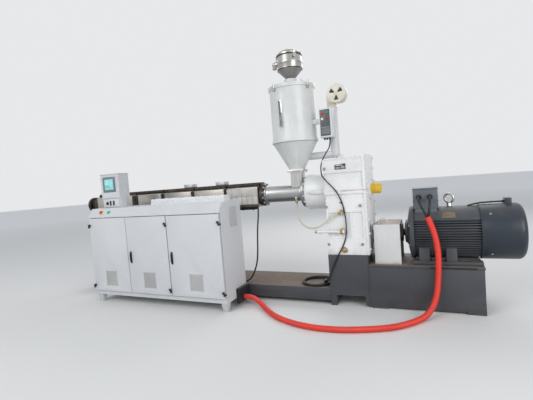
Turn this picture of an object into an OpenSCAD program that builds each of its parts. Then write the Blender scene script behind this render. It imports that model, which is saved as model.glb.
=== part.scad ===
/* [Drive line lengths] */
// Length of the adaptor on the outlet end of the barrel
adaptor_l = 200; // [180:10:360]
// Length of the heated barrel
barrel_l = 3010; // [2850:10:3200]
// Thickness of the bolted barrel flange
flange_t = 50; // [30:5:70]
// Length of the bare steel feed section
feed_l = 535; // [500:5:600]
// Thickness of the grey ring between feed section and gearbox
ring_t = 55; // [40:5:70]
// Length of the round thrust bearing housing
lantern_l = 283; // [240:1:320]
// Length of the gearbox along the screw
gear_l = 477; // [450:1:520]
// Distance between the gearbox and the motor
drive_gap = 368; // [350:1:420]
// Length of the whole motor with its fan cover
motor_l = 1122; // [1060:1:1300]

/* [Drive line sections] */
// Height of the screw axis above the floor
axis_z = 1335; // [1300:5:1400]
// Outer diameter of the barrel tube
barrel_d = 190; // [160:5:200]
// Diameter of the melt channel through the adaptor
melt_d = 60; // [40:2:80]
// Diameter of the bolted barrel flange
flange_d = 300; // [290:5:320]
// Diameter of the feed section
feed_d = 214; // [200:2:230]
// Diameter of the grey ring
ring_d = 380; // [350:5:400]
// Diameter of the thrust bearing housing
lantern_d = 440; // [420:5:460]

/* [Barrel covers] */
// Length of one heater zone
zone_l = 545; // [520:5:560]
// Number of full heater zones
zone_count = 4; // [4:1:4]
// Length of the panelled zone beside the feed section
panel_zone_l = 500; // [460:5:540]
// Width and height of a zone cover
cover_w = 300; // [280:5:320]
// Width of the gap between neighbouring covers
cover_gap = 24; // [16:1:30]
// Height of the dark strip on top of a cover
strip_h = 45; // [30:1:60]
// Width of the dark strip
strip_w = 210; // [180:5:240]

/* [Gearbox] */
// Depth of the gearbox from front to back
gear_w = 600; // [560:5:640]
// Height of the gearbox top above the floor
gear_top = 1710; // [1680:5:1760]
// Height of the top cover band above the floor
band_z = 1545; // [1520:5:1580]
// Thickness of the joint flanges
joint_t = 36; // [24:2:50]
// Distance that flanges stand out of the housing
flange_out = 14; // [8:1:20]
// Diameter of the yellow end cap
cap_d = 126; // [110:2:150]
// Length of the yellow end cap
cap_l = 130; // [80:5:150]

/* [Base] */
// Width of the welded base
base_w = 640; // [620:5:700]
// Height of the pedestal under the gearbox
pedestal_h = 600; // [580:5:620]
// Length of the pedestal
pedestal_l = 452; // [430:1:470]
// Height of the lower deck under the motor
deck_h = 490; // [470:5:500]
// Length of the lower deck
deck_l = 1130; // [1080:5:1200]
// Height of the feet under the base
foot_h = 20; // [10:2:40]
// Height of the low beams above the floor
beam_z = 50; // [40:5:80]
// Height of one low beam
beam_h = 150; // [140:5:200]
// Width of one low beam
beam_w = 110; // [80:5:140]
// Length of the low beams
beam_l = 3900; // [3700:10:3950]
// Width of the stands under the barrel
stand_w = 260; // [220:5:280]

/* [Motor] */
// Thickness of the rails under the motor feet
rail_t = 40; // [30:2:60]
// Distance of each motor rail from the motor's axis
rail_out = 215; // [205:1:225]
// Height of the motor shaft above its feet
shaft_h = 280; // [270:1:290]
// Radius over the cooling fins
fin_r = 280; // [272:1:286]
// Radius of the motor frame between the fins
frame_r = 244; // [230:1:250]
// Number of fins on each side of the motor
fin_count = 17; // [9:1:21]
// Thickness of one fin
fin_t = 7; // [5:0.5:10]
// Length of the end shield
shield_l = 102; // [80:1:120]
// Length of the fan cover
fan_l = 390; // [360:5:460]
// Radius of the fan cover
fan_r = 290; // [284:1:300]
// Width of the terminal box
box_w = 250; // [220:5:280]
// Height of the terminal box
box_h = 230; // [200:5:260]
// Diameter of the coupling between motor and gearbox
coupling_d = 210; // [180:5:240]
// Length of the coupling guard
guard_l = 280; // [260:5:300]
// Depth of the coupling guard from front to back
guard_w = 460; // [420:5:520]
// Height of the coupling guard
guard_h = 440; // [430:5:480]
// Thickness of the guard sheet
guard_t = 3; // [2:0.5:5]

/* [Hopper] */
// Diameter of the hopper
hopper_d = 564; // [520:4:600]
// Height of the round part of the hopper
hopper_h = 688; // [600:4:760]
// Height of the hopper cone
cone_h = 340; // [300:5:380]
// Width of the square feed throat
throat_w = 144; // [120:2:146]
// Height of the throat above the screw axis
throat_h = 275; // [250:5:300]
// Diameter of the vacuum loader
loader_d = 312; // [280:4:340]
// Height of the round part of the vacuum loader
loader_h = 180; // [150:5:220]

/* [Hot air unit] */
// Diameter of the heater tube
heater_d = 110; // [90:2:120]
// Diameter of the blower housing
blower_d = 264; // [250:2:290]
// Width of the blower housing
blower_w = 90; // [80:5:100]
// Diameter of the air intake disc
intake_d = 226; // [200:2:240]
// Width of the dryer's control box
control_w = 157; // [140:1:170]
// Height of the dryer's control box
control_h = 347; // [320:1:380]
// Depth of the dryer's control box
control_t = 150; // [120:5:155]

/* [Control cabinet] */
// Distance from the hinge pins to the face of the doors
pin_out = 14; // [14:1:16]
// Length of the cabinet
cab_l = 2140; // [2100:5:2200]
// Depth of the cabinet body behind its doors
cab_w = 492; // [460:2:540]
// Height of the cabinet top above the floor
cab_h = 1310; // [1290:5:1330]
// Height of the sloped strip over the doors
slope_h = 119; // [100:1:130]
// Height of the door bottoms above the floor
door_bottom = 175; // [165:1:190]
// Height of the cabinet feet
cab_foot_h = 110; // [90:5:130]
// Setback of the sloped strip over the doors
slope_in = 80; // [60:5:100]
// Thickness of the doors
door_t = 22; // [18:1:26]
// Gap between a closed door and the frame behind it
door_gap = 6; // [5:0.5:8]
// Gap between neighbouring doors
leaf_gap = 14; // [12:1:18]
// Thickness of the cabinet sheet
sheet_t = 2; // [1.5:0.5:3]
// Width of the frame posts
post_w = 40; // [30:1:50]
// Distance from the cabinet's end to the barrel flange
cab_end = 180; // [170:1:260]
// Distance that the door handles stand out
handle_out = 25; // [20:1:35]
// Height of the door handles' lower end above the floor
handle_z = 575; // [540:5:620]
// Width of a door handle's plate
handle_w = 26; // [22:1:30]
// Distance from a door's top edge to its upper hinge
hinge_in = 110; // [90:5:140]
// Gap between the cabinet's back and the machine base
cab_gap = 30; // [24:1:80]
// Width of the panels that hold the air filters
vent_w = 196; // [180:2:210]
// Height of the air filters
vent_h = 204; // [190:2:220]

/* [Operator panel] */
// Width of the operator panel
panel_w = 335; // [300:5:360]
// Height of the operator panel
panel_h = 330; // [300:5:360]
// Depth of the operator panel
panel_t = 185; // [160:5:200]
// Height of the neck under the operator panel
neck_h = 135; // [110:5:160]
// Width of the cable cover on the cabinet's top
hood_w = 140; // [120:5:170]
// Height of the cable cover
hood_h = 85; // [70:1:110]

/* [Cords] */
// Diameter of the red corrugated conduit
conduit_d = 60; // [50:1:60]
// Diameter of the two motor leads
lead_d = 24; // [16:1:26]
// Diameter of the dryer's cable
cable_d = 14; // [10:1:16]
// Diameter of the heaters' cable to the cabinet
heater_cable_d = 20; // [14:1:24]
// Diameter of the cooling water hose
hose_d = 22; // [16:1:24]

/* [Hidden] */
$fn = 64;
eps = 0.01;
// Running clearance between round pieces that sit on each other
seat = 0.3;

machine_l = adaptor_l + barrel_l + flange_t + feed_l + ring_t + lantern_l + gear_l + drive_gap + motor_l;
machine_w = handle_out + door_t + door_gap + cab_w + cab_gap + base_w;

// Stations along the screw, from the outlet to the motor
x_adaptor = -machine_l / 2;
x_barrel = x_adaptor + adaptor_l;
x_flange = x_barrel + barrel_l;
x_feed = x_flange + flange_t;
x_ring = x_feed + feed_l;
x_lantern = x_ring + ring_t;
x_gear = x_lantern + lantern_l;
x_drive = x_gear + gear_l;
x_motor = x_drive + drive_gap;
x_frame = x_motor + shield_l;
x_fan = machine_l / 2 - fan_l;
x_deck = x_gear + pedestal_l;

// Planes across the machine, from the operator's side to the back
y_front = -machine_w / 2;
y_door = y_front + handle_out;
y_cab = y_door + door_t + door_gap;
y_cab_back = y_cab + cab_w;
y_axis = machine_w / 2 - base_w / 2;
y_base = y_axis - base_w / 2;

motor_z = deck_h + rail_t + shaft_h;
feed_r = feed_d / 2;
barrel_r = barrel_d / 2;

// Heater zones, counted from the outlet: each is [start, length]
head_zone_l = barrel_l - zone_count * zone_l - panel_zone_l;
zones = concat(
    [[x_barrel, head_zone_l]],
    [for (i = [0:zone_count - 1]) [x_barrel + head_zone_l + i * zone_l, zone_l]],
    [[x_flange - panel_zone_l, panel_zone_l]]
);

// Hopper stations, from the throat upwards
hopper_x = x_ring - throat_w / 2 - 4;
throat_top = axis_z + throat_h;
cone_z = throat_top + 24;
body_z = cone_z + cone_h;
lid_z = body_z + hopper_h;
glass_w = 46;
glass_h = 310;
glass_z = body_z + 190;
glass_turn = -12;
collar_h = 110;
collar_d = 174;
loader_z = lid_z + collar_h;
loader_cone_h = 115;
loader_neck_d = 92;
loader_body_z = loader_z + loader_cone_h;
loader_lid_z = loader_body_z + loader_h;

// Hot air unit, behind the control box
heater_x = hopper_x + hopper_d / 2 + 212;
heater_y = y_axis + 58;
duct_z = cone_z + 152;
duct_d = 90;
blower_z = lid_z - 160;
blower_x = heater_x + blower_d / 2 - heater_d / 2;
control_x = hopper_x + hopper_d / 2 + 92;
control_z = body_z + 6;
control_y = heater_y - heater_d / 2 - control_t - 6;

// Cabinet stations: door seams measured from the cabinet's left end
side_top = cab_h - slope_h;
door_top = side_top - 8;
cab_right = x_flange - cab_end;
cab_left = cab_right - cab_l;
reveal = 10;
seam_a = cab_left + 0.318 * cab_l;
seam_b = cab_left + 0.633 * cab_l;
door_edges = [
    [cab_left + reveal, seam_a - leaf_gap / 2],
    [seam_a + leaf_gap / 2, seam_b - leaf_gap / 2],
    [seam_b + leaf_gap / 2, cab_right - reveal]
];
pin_x = [door_edges[0][0], door_edges[1][1], door_edges[2][1]];
pin_z = [door_bottom + 60, door_top - hinge_in];
plinth_h = door_bottom - 10 - cab_foot_h;

// Fixed ends of the cords
gland_x = cab_right + 60;
gland_y = y_cab_back - 162;
gland_z = 100;
lead_x = [x_frame + 60, x_frame + 170];
lead_y = y_axis - 220;
lead_z = motor_z + 402;
nipple_w = 30;
hose_y = y_axis - gear_w / 2 - 32;
hose_z = axis_z - 0.92 * feed_r;
heater_z = axis_z - cover_w / 2;
hose_end = [x_gear + 179, hose_y, 1084];

// Routes of the cords, as [distance from the gearbox, y, z]
conduit_run = [
    [-953, -227, 96], [-893, -240, 83], [-833, -268, 64], [-773, -312, 46], [-713, -368, 36], [-643, -436, 31],
    [-563, -514, 31], [-463, -594, 31], [-343, -662, 31], [-223, -714, 31], [-103, -748, 31],
    [17, -766, 31], [137, -768, 31], [257, -756, 31], [377, -730, 31], [497, -692, 31], [617, -646, 31],
    [727, -588, 31], [822, -514, 31], [912, -418, 31], [964, -352, 33], [1010, -292, 41], [1056, -230, 68],
    [1098, -174, 122], [1128, -130, 196], [1146, -104, 290], [1158, -96, 400], [1166, -96, 520],
    [1168, -96, 640], [1158, -92, 760], [1136, -84, 870], [1108, -72, 960], [1086, -60, 1014]
];
lead_a_run = [
    [1078, -62, 1012], [1068, -64, 1052], [1050, -62, 1092], [1030, -50, 1132], [1014, -28, 1168], [1008, 4, 1198]
];
lead_b_run = [
    [1094, -58, 1014], [1100, -64, 1054], [1107, -62, 1096], [1112, -50, 1136], [1116, -28, 1170], [1117, 4, 1199]
];
cable_run = [
    [48, 172, 1860], [22, 110, 1796], [-4, 52, 1726], [-22, 14, 1650], [-20, -10, 1586], [-6, -36, 1530],
    [32, -42, 1474], [80, -40, 1418], [126, -36, 1366], [164, -36, 1306], [196, -36, 1230], [218, -36, 1150],
    [232, -36, 1050], [236, -36, 930], [224, -36, 810], [178, -38, 690], [108, -46, 570], [48, -58, 440],
    [10, -60, 345], [-14, -56, 288], [-30, -30, 254], [-36, 24, 242], [-34, 84, 237], [-27, 144, 235]
];
heater_run = [
    [-971, 187, 1100], [-969, 171, 1045], [-967, 146, 980], [-965, 118, 900], [-963, 98, 820], [-961, 80, 740],
    [-960, 66, 655], [-963, 56, 575], [-972, 50, 500], [-989, 49, 432], [-1013, 49, 372], [-1043, 49, 310],
    [-1076, 49, 262], [-1110, 45, 232], [-1143, 32, 217], [-1170, 9, 213], [-1187, -20, 212]
];
hose_run = [
    [-423, 192, 1140], [-408, 160, 1070], [-370, 116, 1004], [-310, 64, 952], [-240, 16, 922], [-160, -22, 914],
    [-80, -42, 934], [-10, -46, 974], [40, hose_y, 1014], [77, hose_y, 1045], [107, hose_y, 1065],
    [129, hose_y, 1076], [149, hose_y, 1082]
];

// Route p moved from the gearbox's place to the machine's frame
function placed(p) = [for (q = p) [q[0] + x_gear, q[1], q[2]]];

conduit_route = concat([[gland_x, gland_y, gland_z], [gland_x + 50, gland_y, gland_z]], placed(conduit_run));
lead_a_route = concat(placed(lead_a_run), [[lead_x[0], lead_y - 30, lead_z], [lead_x[0], lead_y, lead_z]]);
lead_b_route = concat(placed(lead_b_run), [[lead_x[1], lead_y - 30, lead_z], [lead_x[1], lead_y, lead_z]]);
cable_route = concat([[x_gear + 57, 205, control_z], [x_gear + 57, 205, control_z - 40]], placed(cable_run));
heater_route = concat(
    [[x_flange - 48, y_axis - 95.5, heater_z], [x_flange - 48, y_axis - 95.5, heater_z - 40]],
    placed(heater_run),
    [[cab_right - 90, y_cab_back + 14, 212], [cab_right - 90, y_cab_back, 212]]
);
hose_route = concat(
    [[x_gear - 423, 204, hose_z], [x_gear - 423, 204, hose_z - 40]],
    placed(hose_run),
    [hose_end - [14, 0, 0], hose_end]
);
coil_d = 390;
coil_z = beam_z + beam_h;
coil_x = x_gear - 211;
coil_y = y_axis - 117.5;

// Unit vector along v
function unit(v) = v / norm(v);

// Direction of the route p at its point i
function along(p, i) = unit(p[min(i + 1, len(p) - 1)] - p[max(i - 1, 0)]);

// Ring of points round point i of the route p
function ring(p, i, r, up, sides) =
    let (t = along(p, i))
    let (u = unit(cross(t, up)))
    let (v = cross(t, u))
    [for (k = [0:sides - 1]) p[i] + r * (cos(360 * k / sides) * u + sin(360 * k / sides) * v)];

// Round cord of diameter d swept along the route p
module cord(p, d, up, sides = 10) {
    n = len(p);
    points = [for (i = [0:n - 1]) each ring(p, i, d / 2, up, sides)];
    walls = [for (i = [0:n - 2], k = [0:sides - 1])
        let (a = i * sides + k)
        let (b = i * sides + (k + 1) % sides)
        each [[a, a + sides, b + sides], [a, b + sides, b]]];
    caps = [[for (k = [0:sides - 1]) k], [for (k = [sides - 1:-1:0]) (n - 1) * sides + k]];
    polyhedron(points = points, faces = concat(walls, caps));
}

// Block from one corner to the opposite corner
module block(low, high) {
    translate(low)
        cube(high - low);
}

// Round bar along X that starts at x
module bar_x(x, y, z, d, l) {
    translate([x, y, z])
        rotate([0, 90, 0])
            cylinder(d = d, h = l);
}

// Round bar along Y that starts at y
module bar_y(x, y, z, d, l) {
    translate([x, y, z])
        rotate([-90, 0, 0])
            cylinder(d = d, h = l);
}

// Outline in the plane across X, pushed along X
module across_x(x, l) {
    translate([x, 0, 0])
        rotate([90, 0, 90])
            linear_extrude(l)
                children();
}

// Outline revolved round the screw axis, drawn as [radius, distance along X]
module turned_x(x, y, z) {
    translate([x, y, z])
        rotate([0, 90, 0])
            rotate_extrude()
                children();
}

module red_conduit() {
    color("red")
        cord(conduit_route, conduit_d, [-0.3, 1, -0.4], 12);
}

module motor_leads() {
    color("black") {
        cord(lead_a_route, lead_d, [1, 0, 0.2], 8);
        cord(lead_b_route, lead_d, [1, 0, 0.2], 8);
    }
}

module dryer_cable() {
    color("black")
        cord(cable_route, cable_d, [-1, 0, 1], 8);
}

module cable_coil() {
    color("black")
        translate([coil_x, coil_y, coil_z])
            rotate_extrude()
                translate([coil_d / 2 - 30, 0])
                    square([34, 44]);
}

module heater_cable() {
    color("black")
        cord(heater_route, heater_cable_d, [1, -1, 0], 8);
}

module water_hose() {
    color("wheat")
        cord(hose_route, hose_d, [0.2, 1, 0], 8);
}

// Welded box with a cable passage through its foot
module base_pedestal() {
    pass_w = 330;
    pass_h = 124;
    pass_x = x_gear + 72;
    color("slategray") {
        difference() {
            block([x_gear, y_base, foot_h], [x_deck, y_base + base_w, pedestal_h]);
            block([pass_x, y_base - 1, foot_h - 1], [pass_x + pass_w, y_base + base_w + 1, pass_h]);
        }
    }
}

module base_deck() {
    color("slategray")
        block([x_deck, y_base, foot_h], [x_deck + deck_l, y_base + base_w, deck_h]);
}

// Levelling pads under the pedestal, the deck and the low beams
module base_feet() {
    pad_l = 170;
    pad_w = 120;
    color("slategray") {
        for (x = [x_gear, x_deck + 20, x_deck + deck_l - pad_l])
            for (y = [y_base, y_base + base_w - pad_w])
                block([x, y, 0], [x + (x == x_gear ? 70 : pad_l), y + pad_w, foot_h]);
        for (x = [x_gear - beam_l + 40, x_gear - 0.65 * beam_l, x_gear - 0.32 * beam_l])
            for (side = [-1, 1])
                translate([x + 60, beam_y(side), 0]) {
                    cylinder(d = 110, h = 24);
                    cylinder(d = 40, h = beam_z);
                }
    }
}

// Middle plane of the low beam on one side
function beam_y(side) = y_axis + side * (base_w / 2 - beam_w / 2);

// Low bed under the barrel: two box beams joined by a top plate
module low_beams() {
    bed_t = 10;
    bed_top = beam_z + beam_h;
    color("slategray") {
        for (side = [-1, 1])
            block(
                [x_gear - beam_l, beam_y(side) - beam_w / 2, beam_z],
                [x_gear, beam_y(side) + beam_w / 2, bed_top]
            );
        block([x_gear - beam_l, y_base, bed_top - bed_t], [x_gear, y_base + base_w, bed_top]);
    }
}

// Welded stands that carry the barrel, each with a saddle
module barrel_stands() {
    saddle_t = 24;
    stand_z = beam_z + beam_h;
    foot_w = base_w - 60;
    for (x = [x_barrel + head_zone_l, x_barrel + head_zone_l + 3 * zone_l])
        color("slategray")
            difference() {
                union() {
                    block([x - 60, y_axis - foot_w / 2, stand_z], [x + 60, y_axis + foot_w / 2, stand_z + 16]);
                    across_x(x - cover_gap / 2 + 3, cover_gap - 6)
                        polygon([
                            [y_axis - foot_w / 2 + 20, stand_z + 16],
                            [y_axis + foot_w / 2 - 20, stand_z + 16],
                            [y_axis + stand_w / 2, stand_z + 420],
                            [y_axis + stand_w / 2, axis_z],
                            [y_axis - stand_w / 2, axis_z],
                            [y_axis - stand_w / 2, stand_z + 420]
                        ]);
                    block([x - 40, y_axis - saddle_t / 2, stand_z + 16], [x + 40, y_axis + saddle_t / 2, axis_z - barrel_d]);
                }
                bar_x(x - 70, y_axis, axis_z, barrel_d + 2 * seat, 140);
            }
}

module motor_rails() {
    rail_w = 110;
    color("dimgray")
        for (side = [-1, 1])
            block(
                [x_motor + 70, y_axis + side * rail_out - rail_w / 2, deck_h],
                [x_deck + deck_l, y_axis + side * rail_out + rail_w / 2, deck_h + rail_t]
            );
}

// Raised frame on a side wall of the lower housing, round two sunk panels
module housing_face(x0, x1) {
    z0 = pedestal_h + joint_t;
    face_h = axis_z - 85 - z0;
    foot_band = 154;
    head_band = 160;
    rib_w = 24;
    rib_x = 0.56 * gear_l;
    panel_h = face_h - foot_band - head_band;
    difference() {
        block([x0, 0, z0], [x1, flange_out + 1, z0 + face_h]);
        block([x0 + rib_w, -1, z0 + foot_band], [x0 + rib_x, flange_out, z0 + foot_band + panel_h]);
        block([x0 + rib_x + rib_w, -1, z0 + foot_band], [x1 - rib_w, flange_out, z0 + foot_band + panel_h]);
    }
}

// Cast lower housing with its joint flange, foot flange and framed walls
module gearbox_lower() {
    y0 = y_axis - gear_w / 2;
    y1 = y_axis + gear_w / 2;
    x0 = x_gear + flange_out;
    x1 = x_drive - 30;
    boss_d = lantern_d + 24;
    bore_d = 180;
    color("whitesmoke")
        difference() {
            union() {
                intersection() {
                    bar_x(x_gear, y_axis, axis_z, boss_d, flange_out + 1);
                    block([x_gear, y0, pedestal_h], [x1, y1, axis_z]);
                }
                block([x0, y0, pedestal_h], [x1, y1, axis_z]);
                block([x0 - flange_out, y0 - flange_out, pedestal_h], [x1, y1 + flange_out, pedestal_h + joint_t]);
                block([x0 - flange_out, y0 - flange_out, axis_z - joint_t], [x1, y1 + flange_out, axis_z]);
                translate([0, y0 - flange_out, 0])
                    housing_face(x0, x1);
                translate([0, y1 + flange_out, 0])
                    mirror([0, 1, 0])
                        housing_face(x0, x1);
                block(hose_end - [0, nipple_w / 2, nipple_w / 2], [hose_end[0] + nipple_w, y0 + 1, hose_end[2] + nipple_w / 2]);
            }
            bar_x(x1 - 31, y_axis, motor_z, bore_d, 32);
        }
}

// Cast upper housing with the heavy block over it that carries the thrust
module gearbox_upper() {
    y0 = y_axis - gear_w / 2;
    y1 = y_axis + gear_w / 2;
    x0 = x_gear + flange_out;
    x1 = x_drive - 30;
    edge = 26;
    boss_d = lantern_d + 24;
    cover_x = [x_gear + 0.2 * gear_l, x_gear + 0.78 * gear_l];
    cover_y = 0.3 * gear_w;
    color("whitesmoke") {
        intersection() {
            bar_x(x_gear, y_axis, axis_z, boss_d, flange_out + 1);
            block([x_gear, y0, axis_z], [x1, y1, band_z]);
        }
        block([x0 - flange_out, y0 - flange_out, axis_z], [x1, y1 + flange_out, axis_z + joint_t]);
        block([x0, y0, axis_z + joint_t], [x1, y1, band_z]);
        across_x(x0 - flange_out, x1 - x0 + flange_out)
            polygon([
                [y0 - flange_out, band_z],
                [y1 + flange_out, band_z],
                [y1 + flange_out, gear_top - edge],
                [y1 + flange_out - edge, gear_top],
                [y0 - flange_out + edge, gear_top],
                [y0 - flange_out, gear_top - edge]
            ]);
        block([cover_x[0], y_axis - cover_y, gear_top - 1], [cover_x[1], y_axis + cover_y, gear_top + 8]);
        translate([cover_x[0] + 60, y_axis + cover_y / 2, gear_top])
            cylinder(d = 42, h = 70);
    }
}

// Plate that closes the drive end, with its two bearing caps
module gearbox_end_plate() {
    plate_t = 30;
    cap_t = 16;
    color("whitesmoke")
        difference() {
            union() {
                block(
                    [x_drive - plate_t, y_axis - gear_w / 2 - flange_out, pedestal_h],
                    [x_drive, y_axis + gear_w / 2 + flange_out, gear_top + 32]
                );
                bar_x(x_drive - eps, y_axis, motor_z, 240, cap_t);
                bar_x(x_drive - eps, y_axis, axis_z, 260, cap_t);
            }
            bar_x(x_drive - plate_t - 1, y_axis, motor_z, 80 + 2 * seat, plate_t + cap_t + 2);
        }
}

// Round cast housing of the thrust bearing, with the ridge of its joint
module thrust_housing() {
    lip = 14;
    ridge_out = 24;
    ridge_t = 32;
    ridge_x = x_lantern + 0.3 * lantern_l;
    color("whitesmoke") {
        turned_x(x_lantern, y_axis, axis_z)
            polygon([
                [0, 0],
                [lantern_d / 2 - lip, 0],
                [lantern_d / 2, lip],
                [lantern_d / 2, lantern_l],
                [0, lantern_l]
            ]);
        block(
            [ridge_x, y_axis - lantern_d / 2 - ridge_out, axis_z - ridge_t / 2],
            [x_gear, y_axis + lantern_d / 2 + ridge_out, axis_z + ridge_t / 2]
        );
    }
}

module shaft_cap() {
    color("gold")
        turned_x(x_drive + 16, y_axis, axis_z)
            polygon([
                [0, 0],
                [cap_d / 2, 0],
                [cap_d / 2, cap_l - 24],
                [cap_d / 2 - 10, cap_l - 16],
                [0, cap_l - 16]
            ]);
}

// Oil pipe with two valves on the front of the gearbox
module oil_pipe() {
    pipe_z = 875;
    pipe_d = 34;
    wall_y = y_axis - gear_w / 2;
    pipe_y = wall_y - flange_out - pipe_d / 2 - 1;
    color("whitesmoke") {
        bar_x(x_gear - 130, pipe_y, pipe_z, pipe_d, 330);
        bar_x(x_gear - 96, pipe_y, pipe_z, 50, 40);
        bar_y(x_gear + 180, pipe_y, pipe_z, pipe_d, wall_y - pipe_y);
        translate([x_gear + 180, pipe_y, pipe_z])
            sphere(d = 46);
    }
}

module feed_ring() {
    color("silver")
        turned_x(x_ring, y_axis, axis_z)
            polygon([
                [0, 0],
                [ring_d / 2 - 8, 0],
                [ring_d / 2, 8],
                [ring_d / 2, ring_t - 12],
                [ring_d / 2 - 10, ring_t - 12],
                [ring_d / 2 - 10, ring_t],
                [0, ring_t]
            ]);
}

// Bare turned cylinder with its flange and a seat cut for the throat
module feed_section() {
    lip_r = feed_r + 12;
    color("lightgray")
        difference() {
            turned_x(x_feed, y_axis, axis_z)
                polygon([
                    [0, 0],
                    [lip_r, 0],
                    [lip_r, 30],
                    [feed_r, 36],
                    [feed_r, feed_l],
                    [0, feed_l]
                ]);
            block(
                [hopper_x - throat_w / 2 - seat, y_axis - throat_w / 2 - seat, axis_z + feed_r - 34],
                [hopper_x + throat_w / 2 + seat, y_axis + throat_w / 2 + seat, axis_z + feed_r + 1]
            );
        }
    color("lightgray")
        translate([x_gear - 423, 204, hose_z])
            block([-nipple_w / 2, -nipple_w / 2, 0], [nipple_w / 2, nipple_w / 2, 50]);
}

// Heated tube with its bolted flanges at both ends
module barrel_tube() {
    end_flange_t = 45;
    color("dimgray")
        difference() {
            union() {
                bar_x(x_barrel, y_axis, axis_z, barrel_d, barrel_l);
                bar_x(x_flange, y_axis, axis_z, flange_d, flange_t);
                bar_x(x_barrel, y_axis, axis_z, flange_d - 40, end_flange_t);
            }
            bar_x(x_barrel - 1, y_axis, axis_z, melt_d, 201);
        }
}

// One insulated cover round the barrel, with chamfered corners
module zone_cover(x, l) {
    half = cover_w / 2;
    edge = 38;
    difference() {
        across_x(x, l)
            translate([y_axis, axis_z])
                polygon([
                    [-half, -half + edge],
                    [-half + edge, -half],
                    [half - edge, -half],
                    [half, -half + edge],
                    [half, half - edge],
                    [half - edge, half - strip_h + 20],
                    [-half + edge, half - strip_h + 20],
                    [-half, half - edge]
                ]);
        bar_x(x - 1, y_axis, axis_z, barrel_d + 2 * seat, l + 2);
    }
}

module zone_covers() {
    head_flange = 60;
    color("lightgray")
        for (i = [0:len(zones) - 1]) {
            cut = i == 0 ? head_flange : cover_gap / 2;
            zone_cover(zones[i][0] + cut, zones[i][1] - cut - cover_gap / 2);
        }
}

// Dark perforated strips that close the top of the covers
module cover_strips() {
    head_flange = 60;
    base_z = axis_z + cover_w / 2 - strip_h + 20;
    color([0.24, 0.19, 0.16])
        for (i = [0:len(zones) - 1]) {
            cut = i == 0 ? head_flange : cover_gap / 2;
            across_x(zones[i][0] + cut, zones[i][1] - cut - cover_gap / 2)
                translate([y_axis, base_z])
                    polygon([
                        [-strip_w / 2, 0],
                        [strip_w / 2, 0],
                        [strip_w / 2, strip_h * 0.6],
                        [strip_w / 2 - 16, strip_h],
                        [-strip_w / 2 + 16, strip_h],
                        [-strip_w / 2, strip_h * 0.6]
                    ]);
        }
}

// Black toggle clips that hang over the seams between the covers
module cover_clips() {
    clip_h = 96;
    clip_w = 44;
    clip_t = 9;
    band_w = 104;
    band_h = 220;
    clip_z = axis_z + cover_w / 2 - 38;
    color("black")
        for (i = [1:len(zones) - 1])
            for (side = [-1, 1])
                block(
                    [zones[i][0] - clip_w / 2, y_axis + side * (cover_w + clip_t) / 2 - clip_t / 2, clip_z - clip_h],
                    [zones[i][0] + clip_w / 2, y_axis + side * (cover_w + clip_t) / 2 + clip_t / 2, clip_z]
                );
    color("black")
        for (side = [-1, 1])
            block(
                [zones[2][0] - band_w / 2, y_axis + side * (cover_w + clip_t) / 2 - clip_t / 2, clip_z - band_h],
                [zones[2][0] + band_w / 2, y_axis + side * (cover_w + clip_t) / 2 + clip_t / 2, clip_z]
            );
}

// Cooling blower hung under one heater zone
module zone_fan(x) {
    fan_d = 0.63 * cover_w;
    fan_w = 0.3 * cover_w;
    duct_w = 0.4 * cover_w;
    fan_top = axis_z - cover_w / 2;
    fan_z = fan_top - cover_w / 2;
    block([x - duct_w / 2, y_axis - duct_w / 2, fan_z + 0.2 * cover_w], [x + duct_w / 2, y_axis + duct_w / 2, fan_top]);
    bar_y(x, y_axis - fan_w / 2, fan_z, fan_d, fan_w);
    bar_y(x, y_axis + fan_w / 2 - eps, fan_z, 0.37 * cover_w, 0.4 * cover_w);
}

module zone_fans() {
    color("gray")
        for (i = [1:len(zones) - 2])
            zone_fan(zones[i][0] + zones[i][1] / 2);
}

// Silver terminal boxes on top of the cover strips
module terminal_boxes() {
    box_z = axis_z + cover_w / 2 + 20;
    box_l = 0.27 * zone_l;
    color("silver")
        for (i = [4, 5])
            translate([zones[i][0] - 0.37 * zone_l, 0, 0])
                block([0, y_axis - 0.28 * strip_w, box_z], [box_l, y_axis + 0.28 * strip_w, box_z + 46]);
}

// Adaptor with a bolted die flange and the melt channel through it
module die_adaptor() {
    die_flange_t = 50;
    die_flange_d = 250;
    bolt_d = 22;
    bolt_circle = 200;
    color([0.22, 0.22, 0.22])
        difference() {
            union() {
                bar_x(x_adaptor, y_axis, axis_z, die_flange_d, die_flange_t);
                bar_x(x_adaptor + die_flange_t - eps, y_axis, axis_z, 150, adaptor_l - die_flange_t - 40 + 2 * eps);
                bar_x(x_barrel - 40, y_axis, axis_z, flange_d - 40, 40);
            }
            bar_x(x_adaptor - 1, y_axis, axis_z, melt_d, adaptor_l + 2);
            for (k = [0:7])
                bar_x(
                    x_adaptor - 1,
                    y_axis + bolt_circle / 2 * cos(45 * k + 22.5),
                    axis_z + bolt_circle / 2 * sin(45 * k + 22.5),
                    bolt_d,
                    die_flange_t + 2
                );
        }
}

// Square throat block that stands in the seat of the feed section
module feed_throat() {
    plate_w = 216;
    plate_t = 24;
    color("gainsboro") {
        block(
            [hopper_x - throat_w / 2, y_axis - throat_w / 2, axis_z + feed_r - 34],
            [hopper_x + throat_w / 2, y_axis + throat_w / 2, throat_top]
        );
        block(
            [hopper_x - plate_w / 2, y_axis - plate_w / 2, throat_top],
            [hopper_x + plate_w / 2, y_axis + plate_w / 2, throat_top + plate_t]
        );
    }
}

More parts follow.
